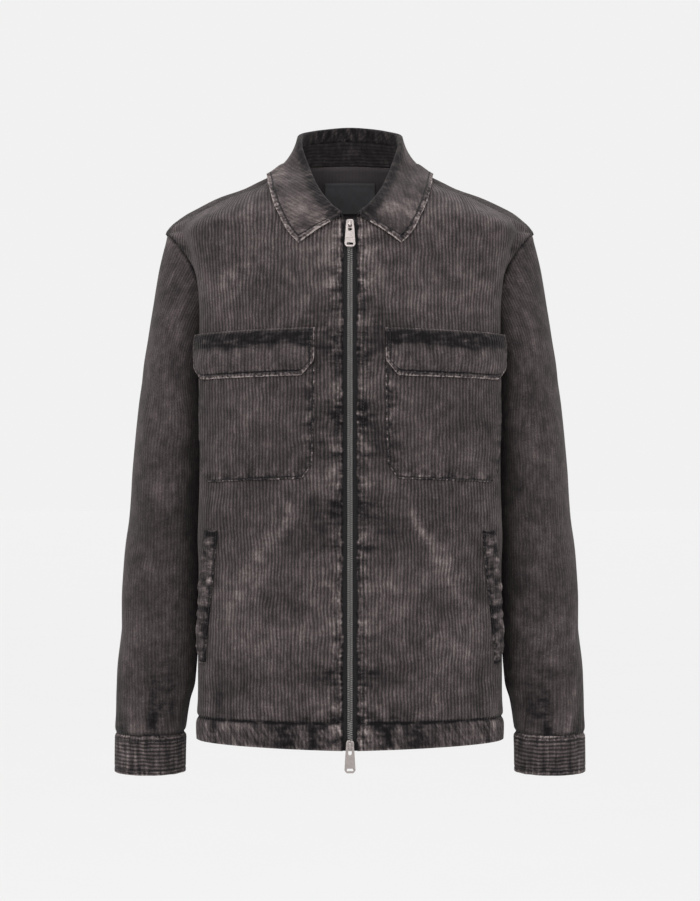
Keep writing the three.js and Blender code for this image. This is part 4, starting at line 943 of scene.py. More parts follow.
def metal(name, color, roughness, brush=1.0):
    """Brushed warm silver, with fine scratches and dull patches."""
    m = Nodes(name, roughness, 1.0)
    m.shader.inputs["Specular IOR Level"].default_value = 0.5
    place = m.node("ShaderNodeTexCoord").outputs["Object"]
    stretch = m.node("ShaderNodeMapping", {"Vector": place, "Scale": (1.0, 1.0, 0.08)}).outputs["Vector"]
    lines = m.noise(stretch, 5200, 2)
    patch = m.noise(place, 260, 4)
    tone = m.maths("MULTIPLY_ADD", lines, 0.3, m.maths("MULTIPLY", patch, 0.7))
    low = tuple(c * 0.72 for c in color)
    shine = m.maths("MULTIPLY_ADD", tone, 0.25 * brush, roughness - 0.12 * brush)
    m.link(shine, m.shader.inputs["Roughness"])
    return m.finish(m.ramp(tone, (0.25, low), (0.7, color)), m.bump(lines, 0.00004, 0.5))


def thread(name, dark, light):
    """Twisted sewing thread."""
    m = Nodes(name, 0.7)
    place = m.node("ShaderNodeTexCoord").outputs["Object"]
    twist = m.node("ShaderNodeTexWave", {"Vector": place, "Scale": 900.0, "Distortion": 2.0}).outputs["Fac"]
    tone = m.maths("MULTIPLY_ADD", twist, 0.5, m.maths("MULTIPLY", m.noise(place, 90), 0.5))
    return m.finish(m.ramp(tone, (0.2, dark), (0.8, light)), m.bump(twist, 0.0001, 0.6))


CORDUROY = corduroy("corduroy", stitch=9.5, band=0.5, gather=0.3)
SLEEVE_CLOTH = corduroy("corduroy_sleeve", 0.0, 0.1)
COLLAR_CLOTH = corduroy("corduroy_collar", 0.0, 0.07, stitch=6.0, band=1.3)
CUFF_CLOTH = corduroy("corduroy_cuff", -0.02, 0.3, 3.8, 5.5, 0.8, bars=(0.12, 1.0, 0.0))
HEM_CLOTH = corduroy("corduroy_hem", 0.0, 0.15, stitch=9.5, band=0.4, gather=0.3, bars=(1.0, 0.3, 0.5))
FLAP_CLOTH = corduroy("corduroy_flap", -0.02, 0.2, stitch=5.0, band=1.2)
POCKET_FINISH = corduroy("corduroy_pocket", 0.0, 0.22, stitch=2.2, gather=0.6)
WELT_CLOTH = corduroy("corduroy_welt", -0.02, 0.12, stitch=1.8, band=0.6, gather=0.6, bars=(0.4, 1.0, 0.0))
# A darker copy of the corduroy: painted shade for the collar stand, which sits inside the collar.
STAND_SHADE_CLOTH = corduroy("corduroy_stand_shade", -0.16, 0.1)
REVERSE = reverse_cloth()
TAPE = woven("zip_tape_black", (0.002, 0.002, 0.0023), (0.010, 0.0095, 0.0105))
LABEL = woven("label_charcoal", (0.052, 0.052, 0.056), (0.092, 0.090, 0.096), 0.0009)
PULL_METAL = metal("brushed_metal", (0.43, 0.385, 0.37), 0.36)
TEETH_METAL = metal("teeth_metal", (0.47, 0.45, 0.43), 0.3, 0.6)
THREAD = thread("thread_charcoal", (0.006, 0.0055, 0.006), (0.030, 0.026, 0.027))

# Body, sleeves, cuffs and hem bands
front = dress_front(front_skin(PANEL_ROWS), PANEL_ROWS)
hem = dress_front(front_skin(HEM_ROWS), HEM_ROWS, True)
back = dress_back(back_skin(PANEL_ROWS), PANEL_ROWS)
hem_back = dress_back(back_skin(HEM_ROWS), HEM_ROWS, True)
sleeve = dress_sleeve(sleeve_skin())
cuff = dress_cuff(cuff_skin())


def pair(name, skin, materials, outer=0.0, inner=-CLOTH):
    """The wearer's left piece and its mirror image on the right."""
    pieces = []
    for side in ("left", "right"):
        piece = wall(f"{name}_{side}_cloth", skin, outer, inner, materials, side == "right")
        pieces.append(ride(piece, f"{name}_{side}"))
    return pieces


pair("front", front, [CORDUROY, REVERSE])
pair("sleeve", sleeve, [SLEEVE_CLOTH, REVERSE])
pair("cuff", cuff, [CUFF_CLOTH, CUFF_CLOTH])
pair("hem", hem, [HEM_CLOTH, REVERSE])
ride(wall("back_cloth", back, 0.0, -CLOTH, [CORDUROY, REVERSE]), "back")
ride(wall("hem_back_cloth", hem_back, 0.0, -CLOTH, [HEM_CLOTH, REVERSE]), "hem_back")


# What lies on the fronts

def patch(rows, inner_name, outer_name, steps, corner_names=None):
    """Grid on the front between two heights and two named places, its lower corners cut off."""
    low, high = rows[0], rows[-1]
    left = PLACES.at(inner_name, rows)
    right = PLACES.at(outer_name, rows) if outer_name else np.ones(len(rows))
    if corner_names:
        cut = np.clip((high + CORNER_RISE - rows) / CORNER_RISE, 0, 1)
        left = mix(left, PLACES.at(corner_names[0], rows), cut)
        right = mix(right, PLACES.at(corner_names[1], rows), cut)
    places = mix(left[:, None], right[:, None], steps[None, :])
    points, normals, across, run = front.sample(rows[:, None] + 0 * places, places, FRONT_KEYS)
    skin = Skin(points, across, run)
    skin.normals = normals
    widths = np.linalg.norm(np.diff(points, axis=1), axis=2).sum(1)[:, None]
    skin.from_sides = np.minimum(steps, 1 - steps)[None, :] * widths
    skin.from_top = (low - rows)[:, None] + 0 * places
    skin.from_bottom = (rows - high)[:, None] + 0 * places
    skin.from_edge = np.minimum(skin.from_sides, skin.from_bottom)
    return skin


def raise_skin(skin, lift):
    """Stands a patch off what it lies on, keeping the grid's own outward directions."""
    skin.points = skin.points + skin.normals * lift[..., None]
    skin.normals = grid_normals(skin.points)


def flatten_end(skin, steps, start):
    """Carries a stiff patch straight on from a place near its outer end, rather than round the fold."""
    k = int(np.searchsorted(steps, start))
    way = unit(skin.points[:, k] - skin.points[:, k - 2])
    run = np.concatenate([[0], np.cumsum(np.linalg.norm(np.diff(skin.points.mean(0)[k:], axis=0), axis=1))])
    straight = skin.points[:, k:k + 1] + way[:, None, :] * run[None, :, None]
    share = smooth(run / run[-1])[None, :, None] * 0.75
    skin.points[:, k:] = mix(skin.points[:, k:], straight, share)
    skin.normals = grid_normals(skin.points)


POCKET_STEPS = spaced(130, STEP) / 130
pocket_rows = POCKET_HEIGHTS[0] - spaced(POCKET_HEIGHTS[0] - POCKET_HEIGHTS[1], STEP, False, True)
pocket = patch(pocket_rows, "inner", "outer", POCKET_STEPS, ("innerCorner", "outerCorner"))
edge_run = np.where(pocket.from_sides < pocket.from_bottom, pocket.points[..., 2], pocket.points[..., 0])
pocket_wave = pucker(pocket.from_edge, edge_run, 51, 0.6, 4.5, 6.5)
stitch_line = np.exp(-((pocket.from_edge - 2.2) / 0.8)**2)
raise_skin(pocket, LAYER_GAP + 0.4 * smooth(pocket.from_edge / 10) - pocket_wave - 0.3 * stitch_line)
pocket.outer_drop += round_edge(pocket.from_edge, 0.75)
pocket.edge = pocket.from_edge
pocket.worn += 0.5 * np.clip(-pocket_wave, 0, 1)
# Painted shade in the pucker hollows and along the pocket's edge, where it stands off the front.
pocket.dark += 1.1 * np.clip(pocket_wave, 0, 1) + 1.3 * np.exp(-(pocket.from_edge / 1.0)**2)
pair("chest_pocket", pocket, [POCKET_FINISH, REVERSE], POCKET_CLOTH, 0.0)

FLAP_STEPS = spaced(140, STEP) / 140
flap_rows = FLAP_HEIGHTS[0] - spaced(FLAP_HEIGHTS[0] - FLAP_HEIGHTS[1], 2.6)
flap = patch(flap_rows, "inner", None, FLAP_STEPS, ("innerCorner", "outerCorner"))
flap_share = flap.from_top / (FLAP_HEIGHTS[0] - FLAP_HEIGHTS[1])
edge_run = np.where(flap.from_sides < flap.from_bottom, flap.points[..., 2], flap.points[..., 0])
flap_wave = pucker(flap.from_edge, edge_run, 53, 0.5, 4, 6) + 0.35 * noise(flap.across / 22, flap_share * 2,
    55)
flap_stitch = np.exp(-((flap.from_edge - 5) / 0.9)**2) * (flap.from_top > 4)
flap_lift = mix(LAYER_GAP, 2 * LAYER_GAP + POCKET_CLOTH + 0.9, smooth(flap_share * 4))
flap_bulge = (2.6 * smooth((flap_share - 0.25) / 0.35) * smooth((1 - flap_share) / 0.35)
    * smooth(flap.from_sides / 16))
flatten_end(flap, FLAP_STEPS, 0.88)
raise_skin(flap, flap_lift + flap_bulge - flap_wave * smooth(flap.from_top / 5) - 0.5 * flap_stitch)
flap.outer_drop += round_edge(np.minimum(flap.from_edge, flap.from_top + 0.4), 1.0)
flap.inner_drop -= round_edge(flap.from_edge, 1.0)
# A darker band along the flap's top: painted shade for the recess above its bulge, partly the cloth's own
# darker wash there.
band_edge = 17 + 5 * noise(flap.across / 26, 0, 57) + 4 * noise(flap.across / 9, 0, 58)
flap.dark += 0.95 * (1 - smooth((flap.from_top - band_edge) / 5)) * smooth((flap.from_top - 1.5) / 3)
flap.edge = flap.from_edge
flap.worn += 0.5 * np.exp(-(flap.from_top / 0.9)**2)
flap.worn += 0.15 * smooth((flap.from_top - band_edge - 3) / 6) * (1 - smooth((flap_share - 0.75) / 0.2))
pair("pocket_flap", flap, [FLAP_CLOTH, REVERSE], CLOTH, 0.0)

WELT_STEPS = spaced(18, 1.6) / 18
welt_rows = WELT_HEIGHTS[0] - spaced(WELT_HEIGHTS[0] - WELT_HEIGHTS[1], 2.4)
welt = patch(welt_rows, "outerCorner", "outer", WELT_STEPS)
z = welt.points[..., 2]
welt_ends = np.minimum(welt.from_top, welt.from_bottom)
welt_wave = 1.4 * noise(z / 8, welt.across / 9, 81) + 0.8 * noise(z / 4.5, welt.across / 8, 83)
tack = np.exp(-((welt.from_top - 3) / 2.2)**2) + np.exp(-((welt.from_bottom - 3) / 2.2)**2)
raise_skin(welt, LAYER_GAP + 1.3 * smooth(welt.from_sides / 3.5) - welt_wave
    * smooth(welt.from_sides / 2) - 0.8 * tack)
welt.outer_drop += round_edge(np.minimum(welt.from_sides, welt_ends), 1.0)
welt.edge = np.minimum(welt.from_sides, welt_ends)
welt.worn += 0.5 * np.clip(-welt_wave, 0, 1)
# Painted shade in the pucker hollows, in the tack dents and along the welt's sides.
welt.dark += 1.0 * np.clip(welt_wave, 0, 1) + 1.1 * tack + 1.2 * np.exp(-(welt.from_sides / 1.2)**2)
pair("pocket_welt", welt, [WELT_CLOTH, REVERSE], CLOTH, 0.0)


# Collar

def neckline():
    """Left half of the neckline, from the zip round to the centre back, evenly spaced."""
    start = PANEL_ROWS <= NECK_FRONT
    first = int(np.argmax(start))
    fronts_part = np.stack([FRONT.at("startX", PANEL_ROWS[:first + 1]),
        FRONT.at("startY", PANEL_ROWS[:first + 1]),
                            PANEL_ROWS[:first + 1]], -1)[::-1]
    fronts_part[0] = (ZIP_EDGE, FRONT.at("startY", NECK_FRONT), NECK_FRONT)
    skin = back_skin(np.array([-5.0, -8.0]))
    half = BACK_PLACES >= 1
    back_part = skin.points[0, :len(BACK_PLACES)][half]
    line = np.concatenate([fronts_part, back_part])
    run = np.concatenate([[0], np.cumsum(np.linalg.norm(np.diff(line, axis=0), axis=1))])
    even = spaced(run[-1], STEP, True, False)
    points = np.stack([np.interp(even, run, line[:, d]) for d in range(3)], -1)
    return points, even / run[-1], even


def soften(rows, times):
    """Evens out a line of directions, keeping its ends."""
    for _ in range(times):
        rows = np.concatenate([rows[:1], (rows[:-2] + 2 * rows[1:-1] + rows[2:]) / 4, rows[-1:]])
    return rows


def body_tree():
    """Outer faces of the left front and the back, for laying the collar on them."""
    points, faces = [], []
    for skin in (front, back):
        quads, slots = wall_faces(*skin.across.shape)
        base = sum(len(p) for p in points)
        points.append(skin.points.reshape(-1, 3))
        faces.append(quads[slots == 0][:(skin.across.shape[0] - 1) * (skin.across.shape[1] - 1)] + base)
    return BVHTree.FromPolygons(np.concatenate(points).tolist(), np.concatenate(faces).tolist())


def clear_of_body(tree, points, ways, clearance, always=False):
    """Each point at least clearance above the body along its way."""
    placed = []
    for point, way in zip(points, ways):
        hit = tree.ray_cast(Vector(point + way * 60), Vector(-way))[0]
        if hit is None:
            placed.append(point)
            continue
        high = np.array(hit) + way * clearance
        placed.append(high if always or (point - high) @ way < 0 else point)
    return np.array(placed)


def collar_skins():
    base, share, run = neckline()
    crest = np.stack([COLLAR.at(name, share) for name in ("crestX", "crestY", "crestZ")], -1)
    edge = np.stack([COLLAR.at(name, share) for name in ("edgeX", "edgeY", "edgeZ")], -1)
    rise = unit(crest - base)
    beyond_back = 2 * run[-1] - run[-2::-1]
    whole = np.concatenate([base, base[-2::-1] * [-1, 1, 1]])
    ends = [np.clip(run + reach, 0, None) for reach in (-COLLAR_REACH, COLLAR_REACH)]
    before, after = [np.stack([np.interp(place, np.concatenate([run, beyond_back]),
        whole[:, d]) for d in range(3)], -1)
                     for place in ends]
    tangent = unit(after - before)
    out = unit(np.cross(tangent, rise))
    inside = base - out * CLOTH
    tall = np.linalg.norm(crest - base, axis=1, keepdims=True) * STAND_SHARE
    dip = 1.8 * (1 - share[:, None])**4
    stand = [inside + rise * mix(0.6, tall - dip, s) for s in spaced(30, 3.5) / 30]
    centre = crest - rise * FOLD_RADIUS

    def turn(degrees):
        angle = math.radians(degrees)
        return centre + out * (-FOLD_RADIUS * math.cos(angle)) + rise * (FOLD_RADIUS * math.sin(angle))
    lay = unit(out * 0.8 + np.array([0, 0, 0.5]))
    tree = body_tree()
    level = CLOTH + FALL_CLEARANCE
    laid = clear_of_body(tree, edge, lay, level, True)
    laid = np.stack([soften(laid[:, d:d + 1], 8)[:, 0] for d in range(3)], -1)
    start = inside + rise * (tall + 0.3)
    outer = turn(165)
    reach = np.stack([FALL.at("out", share), FALL.at("out", share), FALL.at("down", share)], -1)
    bulge = mix(outer, laid, reach) + lay * FALL.at("off", share)[:, None]
    fall = [mix(start, turn(15), s) for s in np.linspace(0, 1, 6)[:-1]]
    fall += [turn(degrees) for degrees in np.linspace(15, 165, 9)]
    width = np.linalg.norm(laid - outer, axis=1).mean()
    for s in spaced(width, STEP, False, True)[1:] / width:
        roll = outer * (1 - s)**2 + 2 * bulge * s * (1 - s) + laid * s**2
        fall.append(roll if s > 0.999 else clear_of_body(tree, roll, lay,
            mix(level + 1, level, smooth((s - 0.7) / 0.3))))
    whole_run = np.concatenate([run, 2 * run[-1] - run[-2::-1]])

    def skin_of(rows):
        half = np.stack(rows)
        points = np.concatenate([half, half[:, -2::-1] * [-1, 1, 1]], 1)
        steps = np.linalg.norm(np.diff(points, axis=0), axis=2)
        down = np.concatenate([np.zeros((1, points.shape[1])), np.cumsum(steps, 0)], 0)
        skin = Skin(points, down, whole_run[None, :] + 0 * down)
        skin.down = down
        skin.from_ends = np.minimum(whole_run, whole_run[-1] - whole_run)[None, :] + 0 * down
        skin.to_edge = down[-1:] - down
        return skin
    return skin_of(stand), skin_of(fall)


stand, fall = collar_skins()
fall_edge = np.minimum(fall.to_edge, fall.from_ends)
edge_run = np.where(fall.to_edge < fall.from_ends, fall.run, fall.down)
fall_wave = pucker(fall_edge, edge_run, 91, 0.4, 4.5, 7)
fall_stitch = np.exp(-((fall_edge - 6) / 0.9)**2) * (fall.down > 20)
fall.sink(fall_wave + 0.4 * fall_stitch + 0.35 * noise(fall.run / 24, fall.down / 18,
    93) * smooth(fall_edge / 12))
fall.outer_drop += round_edge(fall_edge)
fall.inner_drop -= round_edge(fall_edge)
outside = smooth((fall.down - 16) / 10)
fall.edge = np.where(fall.down > 20, fall_edge, FAR)
fall.worn += outside * 0.5 * np.clip(-fall_wave, 0, 1)
fall.worn += 0.55 * outside * np.clip(noise(fall.run / 34, fall.down / 24, 95) + 0.1, 0, 1)
# Painted shade in the pucker hollows and over the fall's inner side, from the stand round the fold, inside
# the collar.
fall.dark += outside * 0.6 * np.clip(fall_wave, 0, 1) + 0.75 * (1 - outside)
fall.across = fall.down * 0.8 + fall.run * 0.45
ride(wall("collar_fall_cloth", fall, 0.0, -CLOTH, [COLLAR_CLOTH, COLLAR_CLOTH]), "collar_fall")
# The stand is darkened further: painted shade inside the collar.
stand.dark += 0.25
stand.outer_drop += 0.2
ride(wall("collar_stand_cloth", stand, 0.0, -CLOTH, [STAND_SHADE_CLOTH, STAND_SHADE_CLOTH]), "collar_stand")


# Zip

def zip_line(step, low=-686.0, high=-77.0):
    """Points, rise and outward directions of the zip's middle line at even heights."""
    z = np.arange(high, low - 1e-6, -step)
    y = FRONT.at("startY", z)
    way = unit(np.stack([0 * z, np.gradient(y, z), np.ones(len(z))], -1))
    out = np.stack([0 * z, -way[:, 2], way[:, 1]], -1)
    return np.stack([0 * z, y, z], -1), way, out


def tape():
    points, _, _ = zip_line(3.0)
    places = np.array([TAPE_MEETING, 1.2, 2.2, TAPE_INNER, 3.9, 4.6, 5.4, 6.6, ZIP_EDGE, 9.5, 11.5,
        TAPE_OUTER])
    grid = points[:, None, :] + np.stack([places, 0 * places, 0 * places], -1)[None]
    across = places[None, :] + 0 * grid[..., 0]
    skin = Skin(grid, across, grid[..., 2])
    skin.outer_drop += 0.25 * np.exp(-((across - 4.6) / 0.5)**2)
    return skin


tape_skin = tape()
for side in ("left", "right"):
    piece = wall(f"zip_tape_{side}_cloth", tape_skin, TAPE_LEVEL, TAPE_LEVEL - TAPE_THICKNESS, [TAPE, TAPE],
        side == "right")
    ride(piece, f"zip_tape_{side}", slot="tape")


# A tooth's corners: how far in from the tape, its half height and its half depth
TOOTH = [(3.1, 0.4, 0.8), (2.6, 0.5, 1.15), (1.2, 0.5, 1.1), (0.7, 0.4, 0.6), (-0.3, 0.35, 0.35),
    (-0.6, 0.25, 0.2)]


def tooth_mesh():
    """One tooth on +X: eight-sided rings along its length, closed at both ends."""
    ring = [(math.cos(a), math.sin(a)) for a in (np.arange(8) + 0.5) * math.pi / 4]
    points = [(x, depth * c * 1.08, height * s * 1.08) for x, height, depth in TOOTH for c, s in ring]
    faces = []
    for k in range(len(TOOTH) - 1):
        for i in range(8):
            j = (i + 1) % 8
            faces.append((k * 8 + i, k * 8 + j, (k + 1) * 8 + j, (k + 1) * 8 + i))
    last = (len(TOOTH) - 1) * 8
    for base, flip in ((0, True), (last, False)):
        for i in (0, 2, 4):
            quad = (base, base + i + 1, base + i + 2, base + (i + 3) % 8) if i < 4 else (base, base + 5,
                base + 6, base + 7)
            faces.append(quad[::-1] if flip else quad)
    faces = [face for face in faces if len(set(face)) == 4]
    return np.array(points), np.array(faces)


def teeth():
    points, faces = tooth_mesh()
    line, way, out = zip_line(TOOTH_PITCH / 2, -683.0, -79.0)
    all_points, all_faces = [], []
    for k, (place, rise, front_way) in enumerate(zip(line, way, out)):
        side = 1 if k % 2 else -1
        axes = np.stack([np.array([side, 0, 0]), front_way, rise])
        local = points @ axes + place + front_way * (CHAIN_LEVEL - CHAIN_DEPTH / 2)
        flip = np.linalg.det(axes) < 0
        all_faces.append((faces[:, ::-1] if flip else faces) + len(points) * k)
        all_points.append(local)
    return make_mesh("zip_teeth", np.concatenate(all_points), np.concatenate(all_faces), [TEETH_METAL])


ride(teeth(), "zip_chain", slot="zip_metal")


def plate(name, outlines, thickness, bevel, material):
    """Flat plate with rounded edges, from its outline and its holes, lying in X and Y."""
    curve = bpy.data.curves.new(name, "CURVE")
    curve.dimensions = "2D"
    curve.fill_mode = "BOTH"
    curve.extrude = (thickness / 2 - bevel) * MM
    curve.bevel_depth = bevel * MM
    curve.bevel_resolution = 2
    curve.offset = -bevel * MM
    for outline in outlines:
        spline = curve.splines.new("POLY")
        spline.points.add(len(outline) - 1)
        for point, (x, y) in zip(spline.points, outline):
            point.co = (x * MM, y * MM, 0, 1)
        spline.use_cyclic_u = True
    temporary = bpy.data.objects.new(name, curve)
    mesh = bpy.data.meshes.new_from_object(temporary)
    bpy.data.objects.remove(temporary)
    mesh.materials.clear()
    mesh.materials.append(material)
    obj = bpy.data.objects.new(name, mesh)
    bpy.context.scene.collection.objects.link(obj)
    return obj


def rounded(corners, radius, steps=4):
    """Outline with its corners rounded off."""
    corners = [np.array(c, float) for c in corners]
    points = []
    for k, corner in enumerate(corners):
        before, after = corners[k - 1], corners[(k + 1) % len(corners)]
        a = corner + unit(before - corner) * min(radius, np.linalg.norm(before - corner) * 0.45)
        b = corner + unit(after - corner) * min(radius, np.linalg.norm(after - corner) * 0.45)
        for s in np.linspace(0, 1, steps + 1):
            points.append(a * (1 - s)**2 + 2 * corner * s * (1 - s) + b * s**2)
    return points


def mirrored_outline(left):
    return left + [(-x, y) for x, y in reversed(left)]


def bake(obj, matrix):
    obj.data.transform(matrix)
    obj.data.update()
    return obj


def join(name, pieces):
    """One object out of several meshes."""
    target = pieces[0]
    with bpy.context.temp_override(active_object=target, selected_editable_objects=pieces,
            selected_objects=pieces):
        bpy.ops.object.join()
    target.name = name
    target.data.name = name
    return target


def zip_frame(height):
    """Placing matrix on the zip at a height: X across, Y in through the cloth, Z up along it."""
    half = SLIDER_LENGTH / 2
    slope = math.atan2(float(FRONT.at("startY", height + half) - FRONT.at("startY", height - half)),
        2 * half)
    place = Vector((0, float(FRONT.at("startY", height)), height)) * MM
    return Matrix.Translation(place) @ Matrix.Rotation(-slope, 4, "X")


def add_slider(place, height, upside_down):
    """Slider with rounded plate and bail, and its pull tab."""
    w, l = SLIDER_WIDTH / 2, SLIDER_LENGTH / 2
    stand_up = Matrix.Rotation(math.pi / 2, 4, "X")
    base = plate("slider_plate", [rounded(mirrored_outline(
        [(-w * 0.5, l), (-w * 0.88, l * 0.85), (-w, l * 0.4), (-w, -l * 0.5), (-w * 0.72, -l)]), 1.2)],
        SLIDER_PLATE, 0.6, PULL_METAL)
    bake(base, Matrix.Translation((0, SLIDER_PLATE / 2 * MM, 0)) @ stand_up)
    reach, top = BAIL_REACH + BAIL_BAR, BAIL_OPENING + BAIL_BAR
    bail = plate("slider_bail", [rounded(
        [(reach, 1.0), (reach, -top * 0.75), (reach - 1, -top), (1 - reach, -top), (-reach, -top * 0.75),
            (-reach, 1.0),
         (-BAIL_REACH, 1.0), (-BAIL_REACH, -BAIL_OPENING), (BAIL_REACH, -BAIL_OPENING), (BAIL_REACH,
             1.0)], 0.8)],
        BAIL_WIDTH, 0.4, PULL_METAL)
    bake(bail, Matrix.Rotation(-math.pi / 2, 4, "Y"))
    slider = join(f"slider_{place}_metal", [base, bail])
    face = CHAIN_LEVEL + SLIDER_GAP + SLIDER_PLATE
    spin = Matrix.Rotation(math.pi if upside_down else 0, 4, "Y")
    bake(slider, zip_frame(height) @ Matrix.Translation((0, -face * MM, 0)) @ spin)
    ride(slider, f"slider_{place}", slot="zip_metal")

    top, end = PULL_BAR / 2, PULL_BAR / 2 - PULL_LENGTH
    a, e, slot = PULL_TOP_WIDTH / 2, PULL_END_WIDTH / 2, PULL_SLOT_WIDTH / 2
    slot_end = -top - PULL_SLOT_LENGTH
    outer = rounded(mirrored_outline([(-a + 1.6, top), (-a, top - 1.4), (-e, end + 3.2), (-e + 2.4, end)]),
        0.9)
    slot_hole = rounded(mirrored_outline([(-slot, -top), (-slot, slot_end + 1.2), (-slot * 0.5, slot_end)]),
        0.5)
    window = rounded(mirrored_outline([(-3.2, end + 5.2), (-4, end + 2.4)]), 0.5)
    upper = plate("pull_plate", [outer, slot_hole, window], PULL_THICKNESS, 0.3, PULL_METAL)
    lip_width = mix(a, e, 0.6) - 1.4
    lip = plate("pull_lip", [rounded([(-lip_width, end + 12.0), (-lip_width, end + 11.4),
                                      (lip_width, end + 11.4), (lip_width, end + 12.0)], 0.2)],
                PULL_THICKNESS + 0.5, 0.1, PULL_METAL)
    pull = join(f"pull_{place}_metal", [upper, lip])
    bake(pull, stand_up)
    pivot_out = face + BAIL_OPENING / 2
    bake(pull, zip_frame(height) @ Matrix.Translation((0, -pivot_out * MM, -PULL_PIVOT_DROP * MM)))
    ride(pull, f"pull_{place}", body=f"pull_{place}", slot="zip_metal")


add_slider("top", TOP_SLIDER_HEIGHT, False)
add_slider("bottom", BOTTOM_SLIDER_HEIGHT, True)


# Neck label, bare
LABEL_TOP = -14
LABEL_DEPTH = 36
LABEL_WIDTH = 62
LABEL_STEP = 2.5


def label():
    rows = LABEL_TOP - spaced(LABEL_DEPTH, LABEL_STEP)
    skin = back_skin(rows)
    places = spaced(LABEL_WIDTH, LABEL_STEP) - LABEL_WIDTH / 2
    points = np.stack([
        np.stack([np.interp(places, row[::-1, 0], row[::-1, d]) for d in range(3)],
            -1)[::-1] for row in skin.points])
    across = points[..., 0]
    skin = Skin(points, across, points[..., 2])
    to_end = np.minimum(LABEL_TOP - rows, rows - (LABEL_TOP - LABEL_DEPTH))
    to_edge = np.minimum(LABEL_WIDTH / 2 - np.abs(across), to_end[:, None])
    skin.inner_drop += 0.25 * np.exp(-((to_edge - 1.8) / 0.7)**2)
    return ride(wall("neck_label_cloth", skin, -3.1, -3.7, [LABEL, LABEL]), "neck_label", slot="label")


label()


# Stitching

def stitches(name, lines, pitch=3.3, length=2.5, radius=0.24):
    """Short thread stitches laid end to end along lines of points and outward directions."""
    template = []
    for x, size in ((-0.5, 0.35), (-0.3, 1.0), (0.3, 1.0), (0.5, 0.35)):
        for c, s in ((1, 0), (0, 1), (-1, 0), (0, -1)):
            template.append((x * length, c * size * radius * 1.25, s * size * radius))
    template = np.array(template)
    quads = [(k * 4 + i, k * 4 + (i + 1) % 4, k * 4 + 4 + (i + 1) % 4,
        k * 4 + 4 + i) for k in range(3) for i in range(4)]
    quads += [(3, 2, 1, 0), (12, 13, 14, 15)]
    quads = np.array(quads)
    points, faces = [], []
    for line, out in lines:
        run = np.concatenate([[0], np.cumsum(np.linalg.norm(np.diff(line, axis=0), axis=1))])
        for middle in np.arange(pitch / 2, run[-1], pitch):
            ends = [np.array([np.interp(middle + s * length / 2, run,
                line[:, d]) for d in range(3)]) for s in (-1, 1)]
            up = unit(np.array([np.interp(middle, run, out[:, d]) for d in range(3)]))
            way = unit(ends[1] - ends[0])
            side = np.cross(up, way)
            axes = np.stack([way, side, np.cross(way, side)])
            faces.append(quads + len(template) * len(points))
            points.append(template @ axes + (ends[0] + ends[1]) / 2)
    return ride(make_mesh(name, np.concatenate(points), np.concatenate(faces), [THREAD]))


def both_sides(lines):
    flip = np.array([-1, 1, 1])
    return lines + [(line * flip, out * flip) for line, out in lines]


def across_line(skin, measure, distance, rows=slice(None), level=0.0, shift=0.1):
    """Line down a skin where a measure that grows along its rows reaches a distance."""
    points, outs = [], []
    for r in range(skin.across.shape[0])[rows]:
        order = np.argsort(measure[r])
        key = measure[r][order]
        outs.append([np.interp(distance, key, skin.normals[r][order, d]) for d in range(3)])
        drop = np.interp(distance, key, skin.outer_drop[r][order])
        point = np.array([np.interp(distance, key, skin.points[r][order, d]) for d in range(3)])
        points.append(point + unit(np.array(outs[-1])) * (level + shift - drop))
    return np.array(points), unit(np.array(outs))


def down_line(skin, measure, distance, columns=slice(None), level=0.0, shift=0.1):
    """Line along a skin where a measure that grows down its columns reaches a distance."""
    points, outs = [], []
    for c in range(skin.across.shape[1])[columns]:
        order = np.argsort(measure[:, c])
        key = measure[order, c]
        outs.append([np.interp(distance, key, skin.normals[order, c, d]) for d in range(3)])
        point = np.array([np.interp(distance, key, skin.points[order, c, d]) for d in range(3)])
        points.append(point + unit(np.array(outs[-1])) * (level + shift))
    return np.array(points), unit(np.array(outs))


neck_row = int(np.argmax(PANEL_ROWS <= NECK_FRONT))
zip_lines = [across_line(front, front.from_zip, 7.0, slice(neck_row, None)),
    across_line(hem, hem.from_zip, 7.0)]
stitches("stitching_zip", both_sides(zip_lines))
shoulder = int(np.argmax(PANEL_ROWS <= ARMHOLE_TOP[2]))
stitches("stitching_shoulders", both_sides([across_line(front, front.to_seam, 4.0, slice(3, shoulder))]))


def border_line(skin, distance, level):
    """Line at a distance in from the sides and the bottom of a patch, going round its cut corners."""
    rows, columns = skin.across.shape
    down = int(np.argmax(skin.from_bottom[:, 0] <= distance))
    right = int(np.argmax(skin.from_sides[down] >= distance))
    spots = []
    for r in range(down):
        spots.append((r, np.interp(distance, skin.from_sides[r, :columns // 2], np.arange(columns // 2))))
    for c in range(right, columns - right):
        spots.append((down, c))
    for r in range(down - 1, -1, -1):
        spots.append((r, columns - 1 - np.interp(distance, skin.from_sides[r, :columns // 2],
            np.arange(columns // 2))))
    points, outs = [], []
    for r, c in spots:
        low = min(int(c), columns - 2)
        share = c - low
        outs.append(mix(skin.normals[r, low], skin.normals[r, low + 1], share))
        points.append(mix(skin.points[r, low], skin.points[r, low + 1], share) + unit(outs[-1]) * level)
    return np.array(points), unit(np.array(outs))


